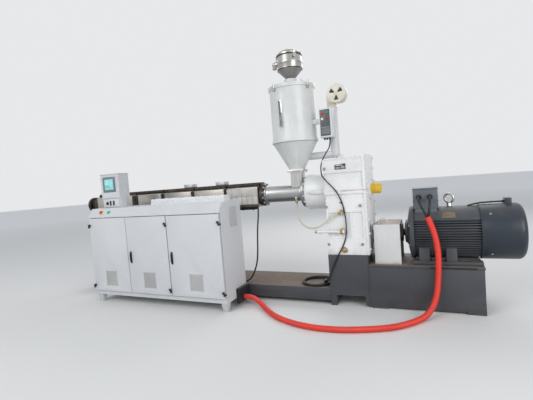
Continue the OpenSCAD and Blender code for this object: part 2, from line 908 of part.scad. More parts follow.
// Sheet steel body on its cone, with the pad that carries the window
module hopper_body() {
    rim = 12;
    neck_r = 98;
    color("gainsboro")
        translate([hopper_x, y_axis, 0])
            rotate([0, 0, glass_turn])
                block(
                    [-glass_w / 2 - 12, -hopper_d / 2 - 6, glass_z - 12],
                    [glass_w / 2 + 12, -hopper_d / 2 + 30, glass_z + glass_h + 12]
                );
    color("gainsboro")
        translate([hopper_x, y_axis, cone_z])
            rotate_extrude()
                polygon([
                    [0, 0],
                    [neck_r + 10, 0],
                    [neck_r + 10, 12],
                    [neck_r + 6, 12],
                    [hopper_d / 2, cone_h],
                    [hopper_d / 2 + rim, cone_h],
                    [hopper_d / 2 + rim, cone_h + 30],
                    [hopper_d / 2, cone_h + 30],
                    [hopper_d / 2, cone_h + hopper_h - 26],
                    [hopper_d / 2 + rim, cone_h + hopper_h - 26],
                    [hopper_d / 2 + rim, cone_h + hopper_h],
                    [0, cone_h + hopper_h]
                ]);
}

// Narrow window in its frame on the front of the hopper
module sight_glass() {
    color("lightblue")
        translate([hopper_x, y_axis, 0])
            rotate([0, 0, glass_turn])
                block(
                    [-glass_w / 2, -hopper_d / 2 - 18, glass_z],
                    [glass_w / 2, -hopper_d / 2 - 6, glass_z + glass_h]
                );
}

module hopper_lid() {
    color("gainsboro")
        translate([hopper_x, y_axis, lid_z])
            rotate_extrude()
                polygon([
                    [0, 0],
                    [hopper_d / 2 + 10, 0],
                    [hopper_d / 2 + 10, 14],
                    [hopper_d / 2 - 20, 26],
                    [collar_d / 2 + 30, 44],
                    [collar_d / 2, 52],
                    [collar_d / 2, collar_h],
                    [0, collar_h]
                ]);
}

module vacuum_loader() {
    color("silver")
        translate([hopper_x, y_axis, loader_z])
            rotate_extrude()
                polygon([
                    [0, 0],
                    [loader_neck_d / 2, 0],
                    [loader_d / 2, loader_cone_h],
                    [loader_d / 2, loader_cone_h + 0.4 * loader_h],
                    [loader_d / 2 + 6, loader_cone_h + 0.4 * loader_h],
                    [loader_d / 2 + 6, loader_cone_h + 0.4 * loader_h + 16],
                    [loader_d / 2, loader_cone_h + 0.4 * loader_h + 16],
                    [loader_d / 2, loader_cone_h + loader_h],
                    [0, loader_cone_h + loader_h]
                ]);
    color("silver") {
        bar_x(hopper_x - loader_d / 2 - 50, y_axis, loader_body_z + 110, 56, 70);
        translate([hopper_x - loader_d / 2 - 50, y_axis, loader_body_z + 110])
            sphere(d = 62);
        translate([hopper_x - loader_d / 2 - 50, y_axis, loader_body_z + 50])
            cylinder(d = 56, h = 60);
    }
}

// Domed lid of the vacuum loader with its toggle latches
module loader_lid() {
    dome_h = 76;
    color("silver")
        translate([hopper_x, y_axis, loader_lid_z])
            rotate_extrude()
                polygon(concat(
                    [[0, 0], [loader_d / 2 + 6, 0], [loader_d / 2 + 6, 14]],
                    [for (a = [0:15:90]) [(loader_d / 2 - 8) * cos(a), 14 + (dome_h - 14) * sin(a)]]
                ));
    color("black")
        for (a = [-50, 70, 190])
            translate([hopper_x, y_axis, 0])
                rotate([0, 0, a])
                    block([loader_d / 2 + 6 - eps, -14, loader_lid_z - 46], [loader_d / 2 + 24, 14, loader_lid_z + 14]);
}

// Outline of the blower's spiral housing, which widens towards its outlet
function volute() =
    let (inner = 0.38 * blower_d)
    let (outer = blower_d / 2)
    let (tongue = -112)
    concat(
        [for (i = [0:24])
            let (a = tongue + i * (180 - tongue) / 24)
            (inner + (outer - inner) * i / 24) * [cos(a), sin(a)]],
        [[-outer, -outer], [-outer + heater_d, -outer]]
    );

// Hot air blower: spiral housing, intake disc with three openings and motor
module hot_air_blower() {
    disc_out = 60;
    port_t = 24;
    color("ivory")
        difference() {
            union() {
                translate([blower_x, heater_y + blower_w / 2, blower_z])
                    rotate([90, 0, 0])
                        linear_extrude(blower_w)
                            polygon(volute());
                bar_y(blower_x, heater_y - blower_w / 2 - disc_out, blower_z, intake_d - 50, disc_out + 1);
                bar_y(blower_x, heater_y - blower_w / 2 - disc_out, blower_z, intake_d, 20);
                bar_y(blower_x, heater_y + blower_w / 2 - eps, blower_z, 0.57 * blower_d, blower_d / 2);
                block(
                    [heater_x - heater_d / 2, heater_y - blower_w / 2, blower_z - blower_d / 2 - 30],
                    [heater_x + heater_d / 2, heater_y + blower_w / 2, blower_z - blower_d / 2 + 1]
                );
            }
            for (a = [30, 150, 270])
                translate([blower_x, heater_y - blower_w / 2 - disc_out + port_t, blower_z])
                    rotate([90, 0, 0])
                        rotate([0, 0, a])
                            linear_extrude(port_t + 1)
                                polygon([[24, -6], [78, -30], [82, 0], [78, 30], [24, 6]]);
        }
}

// Upright heater tube and the duct that leads into the hopper cone
module heater_tube() {
    tube_top = blower_z - blower_d / 2 - 30;
    color("whitesmoke")
        difference() {
            union() {
                translate([heater_x, heater_y, duct_z])
                    cylinder(d = heater_d, h = tube_top - duct_z);
                translate([heater_x, heater_y, duct_z])
                    sphere(d = heater_d);
                bar_x(hopper_x, heater_y, duct_z, duct_d, heater_x - hopper_x);
            }
            translate([hopper_x, y_axis, cone_z])
                cylinder(r1 = 98 + seat, r2 = hopper_d / 2 + seat, h = cone_h);
        }
}

module dryer_control_box() {
    arm_z = control_z + 180;
    reach = hopper_d / 2;
    color("whitesmoke")
        block([control_x, control_y, control_z], [control_x + control_w, control_y + control_t, control_z + control_h]);
    color("silver")
        difference() {
            block([hopper_x + reach - 60, control_y + 60, arm_z], [control_x + eps, control_y + 110, arm_z + 60]);
            translate([hopper_x, y_axis, arm_z - 1])
                cylinder(r = reach + seat, h = 62);
        }
}

// Outline of the motor frame: fins on both sides, smooth over the top
function fin_outline() =
    let (first = -62)
    let (last = 28)
    let (pitch = (last - first) / (fin_count - 1))
    let (half = asin(fin_t / 2 / fin_r))
    let (root = asin(fin_t / 2 / frame_r) + 0.4)
    [for (i = [0:fin_count - 1])
        let (a = first + i * pitch)
        each [
            [frame_r * cos(a - root), frame_r * sin(a - root)],
            [fin_r * cos(a - half), fin_r * sin(a - half)],
            [fin_r * cos(a + half), fin_r * sin(a + half)],
            [frame_r * cos(a + root), frame_r * sin(a + root)]
        ]];

module motor_frame() {
    right = fin_outline();
    left = [for (i = [len(right) - 1:-1:0]) [-right[i][0], right[i][1]]];
    saddle = [for (a = [34:7:146]) [fin_r * cos(a), fin_r * sin(a)]];
    frame_l = x_fan - x_frame;
    foot_w = 100;
    foot_base = -shaft_h;
    color("dimgray") {
        across_x(x_frame, frame_l)
            translate([y_axis, motor_z])
                polygon(concat(right, saddle, left));
        for (x = [x_frame + 40, x_frame + 300])
            for (side = [-1, 1])
                across_x(x, foot_w)
                    translate([y_axis, motor_z])
                        mirror([side > 0 ? 0 : 1, 0])
                            polygon([
                                [150, foot_base], [270, foot_base], [270, foot_base + 30],
                                [238, -150], [226, -100], [150, -190]
                            ]);
        translate([x_frame + 360, y_axis, motor_z + fin_r - 20])
            cylinder(d = 52, h = 56);
        translate([x_frame + 360, y_axis, motor_z + fin_r + 88])
            rotate([0, 90, 60])
                rotate_extrude()
                    translate([48, 0])
                        circle(d = 24, $fn = 24);
    }
}

module motor_shield() {
    color("dimgray")
        turned_x(x_motor, y_axis, motor_z)
            polygon([
                [0, 0], [120, 0], [120, 24], [210, 40], [fin_r + 4, 56],
                [fin_r + 16, 66], [fin_r + 16, shield_l], [0, shield_l]
            ]);
}

// Terminal box with its lid and two cable glands on the front
module motor_terminal_box() {
    x0 = x_frame + 0.5;
    y0 = y_axis - 160;
    z0 = motor_z + fin_r - 10;
    lid_t = 14;
    box_t = 280;
    color("slategray")
        difference() {
            union() {
                block([x0, y0, z0], [x0 + box_w, y0 + box_t, z0 + box_h - lid_t]);
                block([x0 - 6, y0 - 6, z0 + box_h - lid_t], [x0 + box_w + 6, y0 + box_t + 6, z0 + box_h]);
            }
            bar_x(x0 - 1, y_axis, motor_z, 2 * (fin_r + seat), box_w + 2);
        }
    color("black")
        for (x = lead_x)
            bar_y(x, lead_y, lead_z, 44, y0 - lead_y + eps);
}

// Sheet cowl over the fan, rounded at its end, with a slotted air grille
module fan_cover() {
    turn_r = 60;
    slot_w = 14;
    slot_pitch = 34;
    slot_t = 16;
    hub_r = 46;
    color([0.13, 0.15, 0.19])
        difference() {
            union() {
                turned_x(x_fan, y_axis, motor_z)
                    polygon(concat(
                        [[0, 0], [fan_r, 0]],
                        [for (a = [0:15:90]) [fan_r - turn_r + turn_r * cos(a), fan_l - turn_r + turn_r * sin(a)]],
                        [[0, fan_l]]
                    ));
                block([x_fan + 237, y_axis - 50, motor_z + fan_r - 20], [x_fan + 297, y_axis + 50, motor_z + fan_r + 55]);
            }
            for (r = [hub_r:slot_pitch:fan_r - turn_r - slot_w])
                for (a = [5:90:275])
                    translate([x_fan + fan_l - slot_t, y_axis, motor_z])
                        rotate([0, 90, 0])
                            rotate([0, 0, a])
                                rotate_extrude(angle = 80)
                                    translate([r, 0])
                                        square([slot_w, slot_t + 1]);
        }
}

// Two hubs on their shafts with the jaw ring between them
module coupling() {
    shaft_d = 80;
    inset = 22;
    jaw_gap = 24;
    hub_l = (drive_gap - jaw_gap) / 2 - inset;
    color("gray") {
        bar_x(x_drive - 30, y_axis, motor_z, shaft_d, drive_gap + 30);
        bar_x(x_drive + inset, y_axis, motor_z, coupling_d, hub_l);
        bar_x(x_motor - inset - hub_l, y_axis, motor_z, coupling_d, hub_l);
        bar_x(x_drive + inset + hub_l - 1, y_axis, motor_z, coupling_d - 30, jaw_gap + 2);
    }
}

module coupling_guard() {
    x0 = (x_drive + x_motor - guard_l) / 2;
    half = guard_w / 2;
    color("white") {
        across_x(x0, guard_l)
            translate([y_axis, deck_h])
                polygon([
                    [-half - 30, 0], [-half - 30, guard_t], [-half, guard_t], [-half, guard_h],
                    [half, guard_h], [half, guard_t], [half + 30, guard_t], [half + 30, 0],
                    [half - guard_t, 0], [half - guard_t, guard_h - guard_t],
                    [-half + guard_t, guard_h - guard_t], [-half + guard_t, 0]
                ]);
        for (x = [x0 + 45, x0 + 145])
            translate([x, y_axis - half + 60, deck_h + guard_h - eps])
                cylinder(d = 12, h = 60, $fn = 24);
        bar_x(x0 + 39, y_axis - half + 60, deck_h + guard_h + 60, 12, 112);
    }
}

// Side wall with its sloped front corner, post and back flange
module cabinet_side(x, inward) {
    z0 = cab_foot_h + plinth_h;
    post_x = inward > 0 ? x : x - post_w;
    sheet_x = inward > 0 ? x : x - sheet_t;
    across_x(sheet_x, sheet_t)
        polygon([
            [y_cab, z0], [y_cab_back, z0], [y_cab_back, cab_h - sheet_t],
            [y_door + slope_in, cab_h - sheet_t], [y_cab, side_top]
        ]);
    block([post_x, y_cab, z0], [post_x + post_w, y_cab + 30, side_top]);
}

module cabinet_sides() {
    color("whitesmoke") {
        cabinet_side(cab_left, 1);
        cabinet_side(cab_right, -1);
    }
}

// Back sheet with the mounting plate inside
module cabinet_back() {
    z0 = cab_foot_h + plinth_h;
    color("whitesmoke")
        block(
            [cab_left + sheet_t, y_cab_back - sheet_t, z0],
            [cab_right - sheet_t, y_cab_back, cab_h - sheet_t]
        );
    color("silver")
        block(
            [cab_left + 60, y_cab_back - 30, z0 + 60],
            [cab_right - 60, y_cab_back - sheet_t, cab_h - 120]
        );
}

// Posts behind the seams between the doors
module cabinet_posts() {
    z0 = cab_foot_h + plinth_h;
    color("whitesmoke")
        for (x = [seam_a, seam_b])
            block([x - post_w / 2, y_cab, z0], [x + post_w / 2, y_cab + 30, side_top]);
}

// Bottom frame with the cabinet's floor, on four tapered feet
module cabinet_plinth() {
    foot_top = 84;
    foot_end = 56;
    color("whitesmoke") {
        block([cab_left, y_cab, cab_foot_h - eps], [cab_right, y_cab_back, cab_foot_h + plinth_h]);
        for (x = [cab_left + 8, cab_right - 8 - foot_top])
            for (y = [y_cab + 8, y_cab_back - 8 - foot_top])
                translate([x + foot_top / 2, y + foot_top / 2, 0])
                    rotate([0, 0, 45])
                        cylinder(d1 = foot_end * sqrt(2), d2 = foot_top * sqrt(2), h = cab_foot_h, $fn = 4);
    }
}

// Bent top sheet: rail over the doors, sloped strip and flat top
module cabinet_top() {
    color("whitesmoke")
        across_x(cab_left, cab_l)
            polygon([
                [y_cab, side_top],
                [y_cab - door_gap - door_t, side_top],
                [y_cab - door_gap - door_t, side_top + 10],
                [y_door + slope_in, cab_h],
                [y_cab_back, cab_h],
                [y_cab_back, cab_h - sheet_t],
                [y_door + slope_in, cab_h - sheet_t],
                [y_cab, side_top + 2]
            ]);
}

// Door leaf with its turned edge and the hole for the air filter
module door_leaf(i) {
    x0 = door_edges[i][0];
    x1 = door_edges[i][1];
    vent_x = (x0 + x1) / 2;
    vent_z = door_bottom + 78;
    color("whitesmoke")
        difference() {
            block([x0, y_door, door_bottom], [x1, y_door + door_t, door_top]);
            block([x0 + sheet_t, y_door + sheet_t, door_bottom + sheet_t], [x1 - sheet_t, y_door + door_t + 1, door_top - sheet_t]);
            block(
                [vent_x - vent_w / 2 + 8, y_door - 1, vent_z + 8],
                [vent_x + vent_w / 2 - 8, y_door + door_t, vent_z + vent_h - 8]
            );
        }
}

// Air filter panel and hinge knuckles of one door
module door_fittings(i, hinge_side) {
    vent_x = (door_edges[i][0] + door_edges[i][1]) / 2;
    vent_z = door_bottom + 78;
    knuckle_h = 28;
    color("darkgray")
        block([vent_x - vent_w / 2, y_door - 6, vent_z], [vent_x + vent_w / 2, y_door, vent_z + vent_h]);
    color("black")
        for (z = pin_z) {
            translate([pin_x[i], y_door - pin_out, z])
                cylinder(d = 18, h = knuckle_h, $fn = 32);
            translate([pin_x[i], 0, 0])
                mirror([hinge_side > 0 ? 1 : 0, 0, 0])
                    block([0, y_door - pin_out, z], [28, y_door, z + knuckle_h]);
        }
}

// Fixed knuckles of the door hinges on straps from the frame
module door_hinges() {
    strap_t = 4;
    seam_strap_t = leaf_gap - 11;
    knuckle_h = 24;
    straps = [
        [cab_left, cab_left + strap_t],
        [seam_b - seam_strap_t / 2, seam_b + seam_strap_t / 2],
        [cab_right - strap_t, cab_right]
    ];
    color("black")
        for (i = [0:2])
            for (z = pin_z) {
                translate([pin_x[i], y_door - pin_out, z - knuckle_h])
                    cylinder(d = 18, h = knuckle_h, $fn = 32);
                block([straps[i][0], y_door - pin_out, z - knuckle_h], [straps[i][1], y_cab, z]);
            }
}

// Swing handle on its plate, near the free edge of a door
module door_handle(i) {
    x0 = door_edges[i][0] + 34;
    color("black") {
        block([x0, y_door - 8, handle_z], [x0 + handle_w, y_door, handle_z + 155]);
        block([x0 + 4, y_door - handle_out, handle_z + 25], [x0 + handle_w - 4, y_door - 8 + eps, handle_z + 125]);
    }
}

module door_left() {
    door_leaf(0);
}

module door_middle() {
    door_leaf(1);
}

module door_right() {
    door_leaf(2);
}

module fittings_left() {
    door_fittings(0, -1);
}

module fittings_middle() {
    door_fittings(1, 1);
    door_handle(1);
}

module fittings_right() {
    door_fittings(2, 1);
    door_handle(2);
}

// Operator panel box on its neck
module operator_panel() {
    x0 = cab_left + 140;
    y0 = y_cab + 0.25 * cab_w;
    z0 = cab_h + neck_h;
    frame_w = 0.1 * panel_w;
    color("whitesmoke") {
        difference() {
            block([x0, y0, z0], [x0 + panel_w, y0 + panel_t, z0 + panel_h]);
            block([x0 + frame_w, y0 - 1, z0 + frame_w], [x0 + panel_w - frame_w, y0 + 8, z0 + panel_h - frame_w]);
        }
        block([x0 - 8, y0 - 10, z0 + panel_h], [x0 + panel_w + 8, y0 + panel_t + 8, z0 + panel_h + 12]);
        block([x0, y0 + 12, cab_h], [x0 + panel_w, y0 + 0.6 * panel_t, z0]);
    }
}

// Long cover over the cables on the cabinet top
module cable_cover() {
    cover_l = 0.53 * cab_l;
    x0 = cab_right - 0.55 * cab_l;
    y0 = y_cab + 0.37 * cab_w;
    fold = 18;
    color("white")
        across_x(x0, cover_l)
            translate([y0, cab_h])
                polygon([[0, 0], [hood_w, 0], [hood_w, hood_h - fold], [hood_w - fold, hood_h], [fold, hood_h], [0, hood_h - fold]]);
}

module console_buttons() {
    slope = atan2(cab_h - side_top - 10, slope_in);
    for (button = [[222, "gold", 60], [362, "darkcyan", 48]])
        color(button[1])
            translate([cab_left + button[0], y_door + slope_in / 2, (side_top + 10 + cab_h) / 2])
                rotate([slope, 0, 0])
                    cylinder(d = button[2], h = 22);
}

// Louvred air panel high on the cabinet's end wall
module side_louvre() {
    louvre_w = 170;
    louvre_h = 245;
    louvre_t = 3;
    slots = 11;
    y0 = y_cab_back - 285;
    z0 = cab_h - 315;
    pitch = (louvre_h - 24) / slots;
    color("whitesmoke")
        difference() {
            block([cab_right, y0, z0], [cab_right + louvre_t, y0 + louvre_w, z0 + louvre_h]);
            for (i = [0:slots - 1])
                block(
                    [cab_right - 1, y0 + 14, z0 + 16 + i * pitch],
                    [cab_right + louvre_t + 1, y0 + louvre_w - 14, z0 + 16 + i * pitch + 0.45 * pitch]
                );
        }
}

// Plug on the coiled cable, lying inside the coil
module cable_plug() {
    plug_x = coil_x + 100;
    plug_y = coil_y - 35;
    plug_z = coil_z + 20;
    neck_l = 30;
    color("black") {
        bar_y(plug_x, plug_y, plug_z, 26, neck_l);
        bar_y(plug_x, plug_y + neck_l - eps, plug_z, 40, 60);
    }
}

// Outlet box low on the cabinet's end wall, with the conduit's gland
module conduit_gland() {
    color([0.1, 0.1, 0.1]) {
        block([cab_right, gland_y - 110, 40], [gland_x - 20, y_cab_back - 8, 224]);
        bar_x(gland_x - 20 - eps, gland_y, gland_z, conduit_d + 16, 20 + eps);
    }
}

red_conduit();
motor_leads();
dryer_cable();
cable_coil();
cable_plug();
heater_cable();
water_hose();
base_pedestal();
base_deck();
base_feet();
low_beams();
barrel_stands();
motor_rails();
gearbox_lower();
gearbox_upper();
gearbox_end_plate();
thrust_housing();
shaft_cap();
oil_pipe();
feed_ring();
feed_section();
barrel_tube();
zone_covers();
cover_strips();
cover_clips();
zone_fans();
terminal_boxes();
die_adaptor();
feed_throat();
hopper_body();
sight_glass();
hopper_lid();
vacuum_loader();
loader_lid();
hot_air_blower();
heater_tube();
dryer_control_box();
motor_frame();
motor_shield();
motor_terminal_box();
fan_cover();
coupling();
coupling_guard();
cabinet_sides();
cabinet_back();
cabinet_posts();
cabinet_plinth();
cabinet_top();
door_hinges();
door_left();
door_middle();
door_right();
fittings_left();
fittings_middle();
fittings_right();
operator_panel();
cable_cover();
console_buttons();
side_louvre();
conduit_gland();
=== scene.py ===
import math
from itertools import product

import bmesh
import bpy
from mathutils import Matrix, Vector, noise


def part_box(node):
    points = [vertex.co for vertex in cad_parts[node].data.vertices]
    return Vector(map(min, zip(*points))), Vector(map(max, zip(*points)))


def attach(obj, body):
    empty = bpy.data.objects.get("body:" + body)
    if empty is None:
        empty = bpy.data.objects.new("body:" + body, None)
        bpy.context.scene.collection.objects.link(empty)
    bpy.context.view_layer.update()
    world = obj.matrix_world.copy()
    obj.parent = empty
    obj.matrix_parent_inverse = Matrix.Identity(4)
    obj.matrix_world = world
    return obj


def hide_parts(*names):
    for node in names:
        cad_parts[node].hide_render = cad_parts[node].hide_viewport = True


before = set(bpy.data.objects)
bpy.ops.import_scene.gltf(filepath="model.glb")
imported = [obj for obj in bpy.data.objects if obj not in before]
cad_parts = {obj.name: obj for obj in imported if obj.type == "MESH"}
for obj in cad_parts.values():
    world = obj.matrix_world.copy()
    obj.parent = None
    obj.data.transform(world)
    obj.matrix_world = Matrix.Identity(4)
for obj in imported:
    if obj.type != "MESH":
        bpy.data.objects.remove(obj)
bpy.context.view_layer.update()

scene = bpy.context.scene

# The camera stands beside the drive end of the machine at eye height and
# looks back along it, with a wide lens and a small tilt.
camera = bpy.data.objects.new("camera", bpy.data.cameras.new("camera"))
scene.collection.objects.link(camera)
camera.data.lens = 24.18
camera.location = (2.2, -4.0925, 1.52)
camera.rotation_euler = [math.radians(turn) for turn in (86.93, 4.46, 24.29)]
scene.camera = camera


# The cords lie and hang round the machine: a red corrugated conduit along the
# floor to the motor, two black leads out of its end, the dryer's black cable
# with its spare length coiled on the low bed, and a beige water hose.
class Wire:
    """One socket of a finish, on which sums and products add Math nodes."""

    def __init__(self, finish, socket):
        self.finish = finish
        self.socket = socket

    def math(self, operation, *values):
        return self.finish.add("ShaderNodeMath", {"operation": operation}, dict(enumerate(values)))

    def __add__(self, other):
        return self.math("ADD", self, other)

    __radd__ = __add__

    def __rsub__(self, other):
        return self.math("SUBTRACT", other, self)

    def __mul__(self, other):
        return self.math("MULTIPLY", self, other)

    __rmul__ = __mul__

    def wave(self, pitch):
        """A sine along this distance, from 0 to 1 once in each pitch."""
        return self.math("SINE", self * (2 * math.pi / pitch)) * 0.5 + 0.5


class Finish:
    """A procedural surface: a base colour, layers over it, and its relief."""

    def __init__(self, name, colour, roughness, metallic=0.0, slot=None, **fixed):
        self.slot = slot or name
        self.material = bpy.data.materials.new(name)
        self.material.use_nodes = True
        self.tree = self.material.node_tree
        self.shader = self.tree.nodes["Principled BSDF"]
        self.place = self.add("ShaderNodeTexCoord", {}, {}, "Object")
        self.x, self.y, self.z = (self.add("ShaderNodeSeparateXYZ", {}, {0: self.place}, i) for i in range(3))
        facing = self.add("ShaderNodeTexCoord", {}, {}, "Normal")
        self.up = self.add("ShaderNodeSeparateXYZ", {}, {0: facing}, 2)
        self.edge = self.add("ShaderNodeAttribute", {"attribute_name": "edge"}, {}, "Fac")
        self.colour = (*colour, 1.0)
        self.roughness = roughness
        self.metallic = metallic
        self.height = None
        for socket, value in fixed.items():
            self.shader.inputs[socket.replace("_", " ")].default_value = value

    def add(self, kind, settings, values, out=0):
        """Adds one node: its settings first, then the values or wires of its sockets."""
        node = self.tree.nodes.new(kind)
        for setting, value in settings.items():
            setattr(node, setting, value)
        for socket, value in values.items():
            self.join(node.inputs[socket], value)
        return Wire(self, node.outputs[out])

    def join(self, socket, value):
        """Links a wire to a socket, or sets the socket's own value."""
        if isinstance(value, Wire):
            self.tree.links.new(value.socket, socket)
        else:
            socket.default_value = value

    def scaled(self, vector, factor):
        return self.add("ShaderNodeVectorMath", {"operation": "MULTIPLY"}, {0: vector, 1: factor})

    def noise(self, scale, detail=4.0, stretch=(1.0, 1.0, 1.0)):
        place = self.scaled(self.place, stretch)
        return self.add("ShaderNodeTexNoise", {}, {"Vector": place, "Scale": scale, "Detail": detail})

    def between(self, value, low, high):
        """0 where a value, or the one of this name, is below low, and 1 where it is above high."""
        value = getattr(self, value) if isinstance(value, str) else value
        limits = {"Value": value, 1: low, 2: high, 3: 0.0, 4: 1.0}
        return self.add("ShaderNodeMapRange", {"clamp": True}, limits)

    def patches(self, scale, low, high, detail=5.0, stretch=(1.0, 1.0, 1.0)):
        """Spots of noise: 0 where it is below low, and 1 where it is above high."""
        return self.between(self.noise(scale, detail, stretch), low, high)

    def inside(self, value, low, high, soft):
        """1 from low to high, with an edge on both sides that is as wide as soft."""
        return self.between(value, low - soft, low) * (1 - self.between(value, high, high + soft))

    def window(self, soft, wide, high):
        """1 inside a rectangle that is seen from the front."""
        return self.inside("x", *wide, soft) * self.inside("z", *high, soft)

    def layer(self, share, colour, roughness=None, metallic=None):
        """Lays a colour over what is there, where share is 1."""
        mixed = {0: share, 6: self.colour, 7: (*colour, 1.0)}
        self.colour = self.add("ShaderNodeMix", {"data_type": "RGBA"}, mixed, 2)
        if roughness is not None:
            self.roughness = share * roughness + (1 - share) * self.roughness
        if metallic is not None:
            self.metallic = share * metallic + (1 - share) * self.metallic
        return self

    def tone(self, scale, low, high, detail=4.0, stretch=(1.0, 1.0, 1.0)):
        """Lightens and darkens the colour in soft clouds, between two factors."""
        cloud = self.patches(scale, 0.3, 0.7, detail, stretch) * (high - low) + low
        grey = self.add("ShaderNodeCombineXYZ", {}, {0: cloud, 1: cloud, 2: cloud})
        under = self.colour if isinstance(self.colour, Wire) else self.colour[:3]
        self.colour = self.scaled(under, grey)
        return self

    def relief(self, height):
        """Adds to the surface's height, in metres."""
        self.height = height if self.height is None else self.height + height

    def done(self):
        """Joins the colour, roughness, metal and relief to the shader."""
        parts = {"Base Color": self.colour, "Roughness": self.roughness, "Metallic": self.metallic}
        for socket, value in parts.items():
            self.join(self.shader.inputs[socket], value)
        if self.height is not None:
            bump = self.add("ShaderNodeBump", {}, {"Strength": 1.0, "Distance": 1.0, "Height": self.height})
            self.join(self.shader.inputs["Normal"], bump)
        return self


dust_colour = (0.36, 0.33, 0.29)
soil_colour = (0.10, 0.085, 0.07)


def coated(name, colour, roughness, dust=0.3, soil=0.0, scuffs=0.0, cloud=0.9, **fixed):
    """A sheath or coat with clouds of tone, dust on top, soil near the floor and scuffs."""
    finish = Finish(name, colour, roughness, **fixed)
    finish.tone(2.6, cloud, 1.05)
    finish.tone(55.0, 0.96, 1.03, detail=2.0)
    if scuffs:
        lighter = [0.75 * part + 0.2 for part in colour]
        finish.layer(finish.patches(34.0, 0.58, 0.66, stretch=(1.0, 1.0, 2.5)) * scuffs, lighter, 0.65)
    soiled = (1 - finish.between("z", 0.0, 0.2)) * finish.patches(6.0, 0.35, 0.75)
    finish.layer(soiled * soil, soil_colour, 0.8)
    dusty = finish.between("up", 0.5, 0.95) * finish.patches(4.0, 0.3, 0.75)
    finish.layer(dusty * dust, dust_colour, 0.85)
    return finish


def placed(piece, finish, nodes, body="machine"):
    """Puts a finished piece on a body, in place of the CAD nodes it is named for."""
    piece.data.materials.append(finish.material)
    scene.collection.objects.link(piece)
    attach(piece, body)
    if nodes:
        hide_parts(*nodes)
    return piece


def smoothed(route, step):
    """Points about a step apart on a smooth curve through the route's points."""
    points = [Vector(p) for p in route]
    ends = [2 * points[0] - points[1], *points, 2 * points[-1] - points[-2]]
    line = []
    for a, b, c, d in zip(ends, ends[1:], ends[2:], ends[3:]):
        for i in range(max(1, round((c - b).length / step))):
            t = i * step / (c - b).length
            cubic = (2 * a - 5 * b + 4 * c - d) * t ** 2 + (3 * b - a - 3 * c + d) * t ** 3
            line.append(0.5 * (2 * b + (c - a) * t + cubic))
    return [*line, points[-1]]


def laid(name, route, diameter, finish, nodes, step, sides, ribs=(1.0,), **facts):
    """Lays a cord along a route, its thickness repeating the ribs' shares."""
    line = smoothed(route, step)
    curve = bpy.data.curves.new(name, "CURVE")
    curve.dimensions = "3D"
    curve.bevel_depth = diameter / 2
    curve.bevel_resolution = sides
    curve.use_fill_caps = True
    spline = curve.splines.new("POLY")
    spline.points.add(len(line) - 1)
    spline.use_smooth = True
    for i, (point, spot) in enumerate(zip(spline.points, line)):
        point.co = (*spot, 1.0)
        point.radius = ribs[i % len(ribs)]
    piece = placed(bpy.data.objects.new(name, curve), finish, nodes)
    length = sum((b - a).length for a, b in zip(line, line[1:]))


conduit_route = [
    (0.04, -0.2245, 0.1), (0.09, -0.2245, 0.1), (0.13, -0.227, 0.096), (0.19, -0.24, 0.083),
    (0.25, -0.268, 0.064), (0.31, -0.312, 0.046), (0.37, -0.368, 0.036), (0.44, -0.436, 0.031),
    (0.52, -0.514, 0.031), (0.62, -0.594, 0.031), (0.74, -0.662, 0.031), (0.86, -0.714, 0.031),
    (0.98, -0.748, 0.031), (1.1, -0.766, 0.031), (1.22, -0.768, 0.031), (1.34, -0.756, 0.031),
    (1.46, -0.73, 0.031), (1.58, -0.692, 0.031), (1.7, -0.646, 0.031), (1.81, -0.588, 0.031),
    (1.905, -0.514, 0.031), (1.995, -0.418, 0.031), (2.047, -0.352, 0.033), (2.093, -0.292, 0.041),
    (2.139, -0.23, 0.068), (2.181, -0.174, 0.122), (2.211, -0.13, 0.196), (2.229, -0.104, 0.29),
    (2.241, -0.096, 0.4), (2.249, -0.096, 0.52), (2.251, -0.096, 0.64), (2.241, -0.092, 0.76),
    (2.219, -0.084, 0.87), (2.191, -0.072, 0.96), (2.169, -0.06, 1.014),
]
lead_routes = [
    [
        (2.161, -0.062, 1.012), (2.151, -0.064, 1.052), (2.133, -0.062, 1.092), (2.113, -0.05, 1.132),
        (2.097, -0.028, 1.168), (2.091, 0.004, 1.198), (2.09, 0.0375, 1.212), (2.09, 0.0675, 1.212),
    ],
    [
        (2.177, -0.058, 1.014), (2.183, -0.064, 1.054), (2.19, -0.062, 1.096), (2.195, -0.05, 1.136),
        (2.199, -0.028, 1.17), (2.2, 0.004, 1.199), (2.2, 0.0375, 1.212), (2.2, 0.0675, 1.212),
    ],
]
cable_route = [
    (1.14, 0.205, 1.98), (1.14, 0.205, 1.94), (1.131, 0.172, 1.86), (1.105, 0.11, 1.796),
    (1.079, 0.052, 1.726), (1.061, 0.014, 1.65), (1.063, -0.01, 1.586), (1.077, -0.036, 1.53),
    (1.115, -0.042, 1.474), (1.163, -0.04, 1.418), (1.209, -0.036, 1.366), (1.247, -0.036, 1.306),
    (1.279, -0.036, 1.23), (1.301, -0.036, 1.15), (1.315, -0.036, 1.05), (1.319, -0.036, 0.93),
    (1.307, -0.036, 0.81), (1.261, -0.038, 0.69), (1.191, -0.046, 0.57), (1.131, -0.058, 0.44),
    (1.093, -0.06, 0.345), (1.069, -0.056, 0.288), (1.053, -0.03, 0.254), (1.047, 0.024, 0.242),
    (1.049, 0.084, 0.237), (1.056, 0.144, 0.235),
]
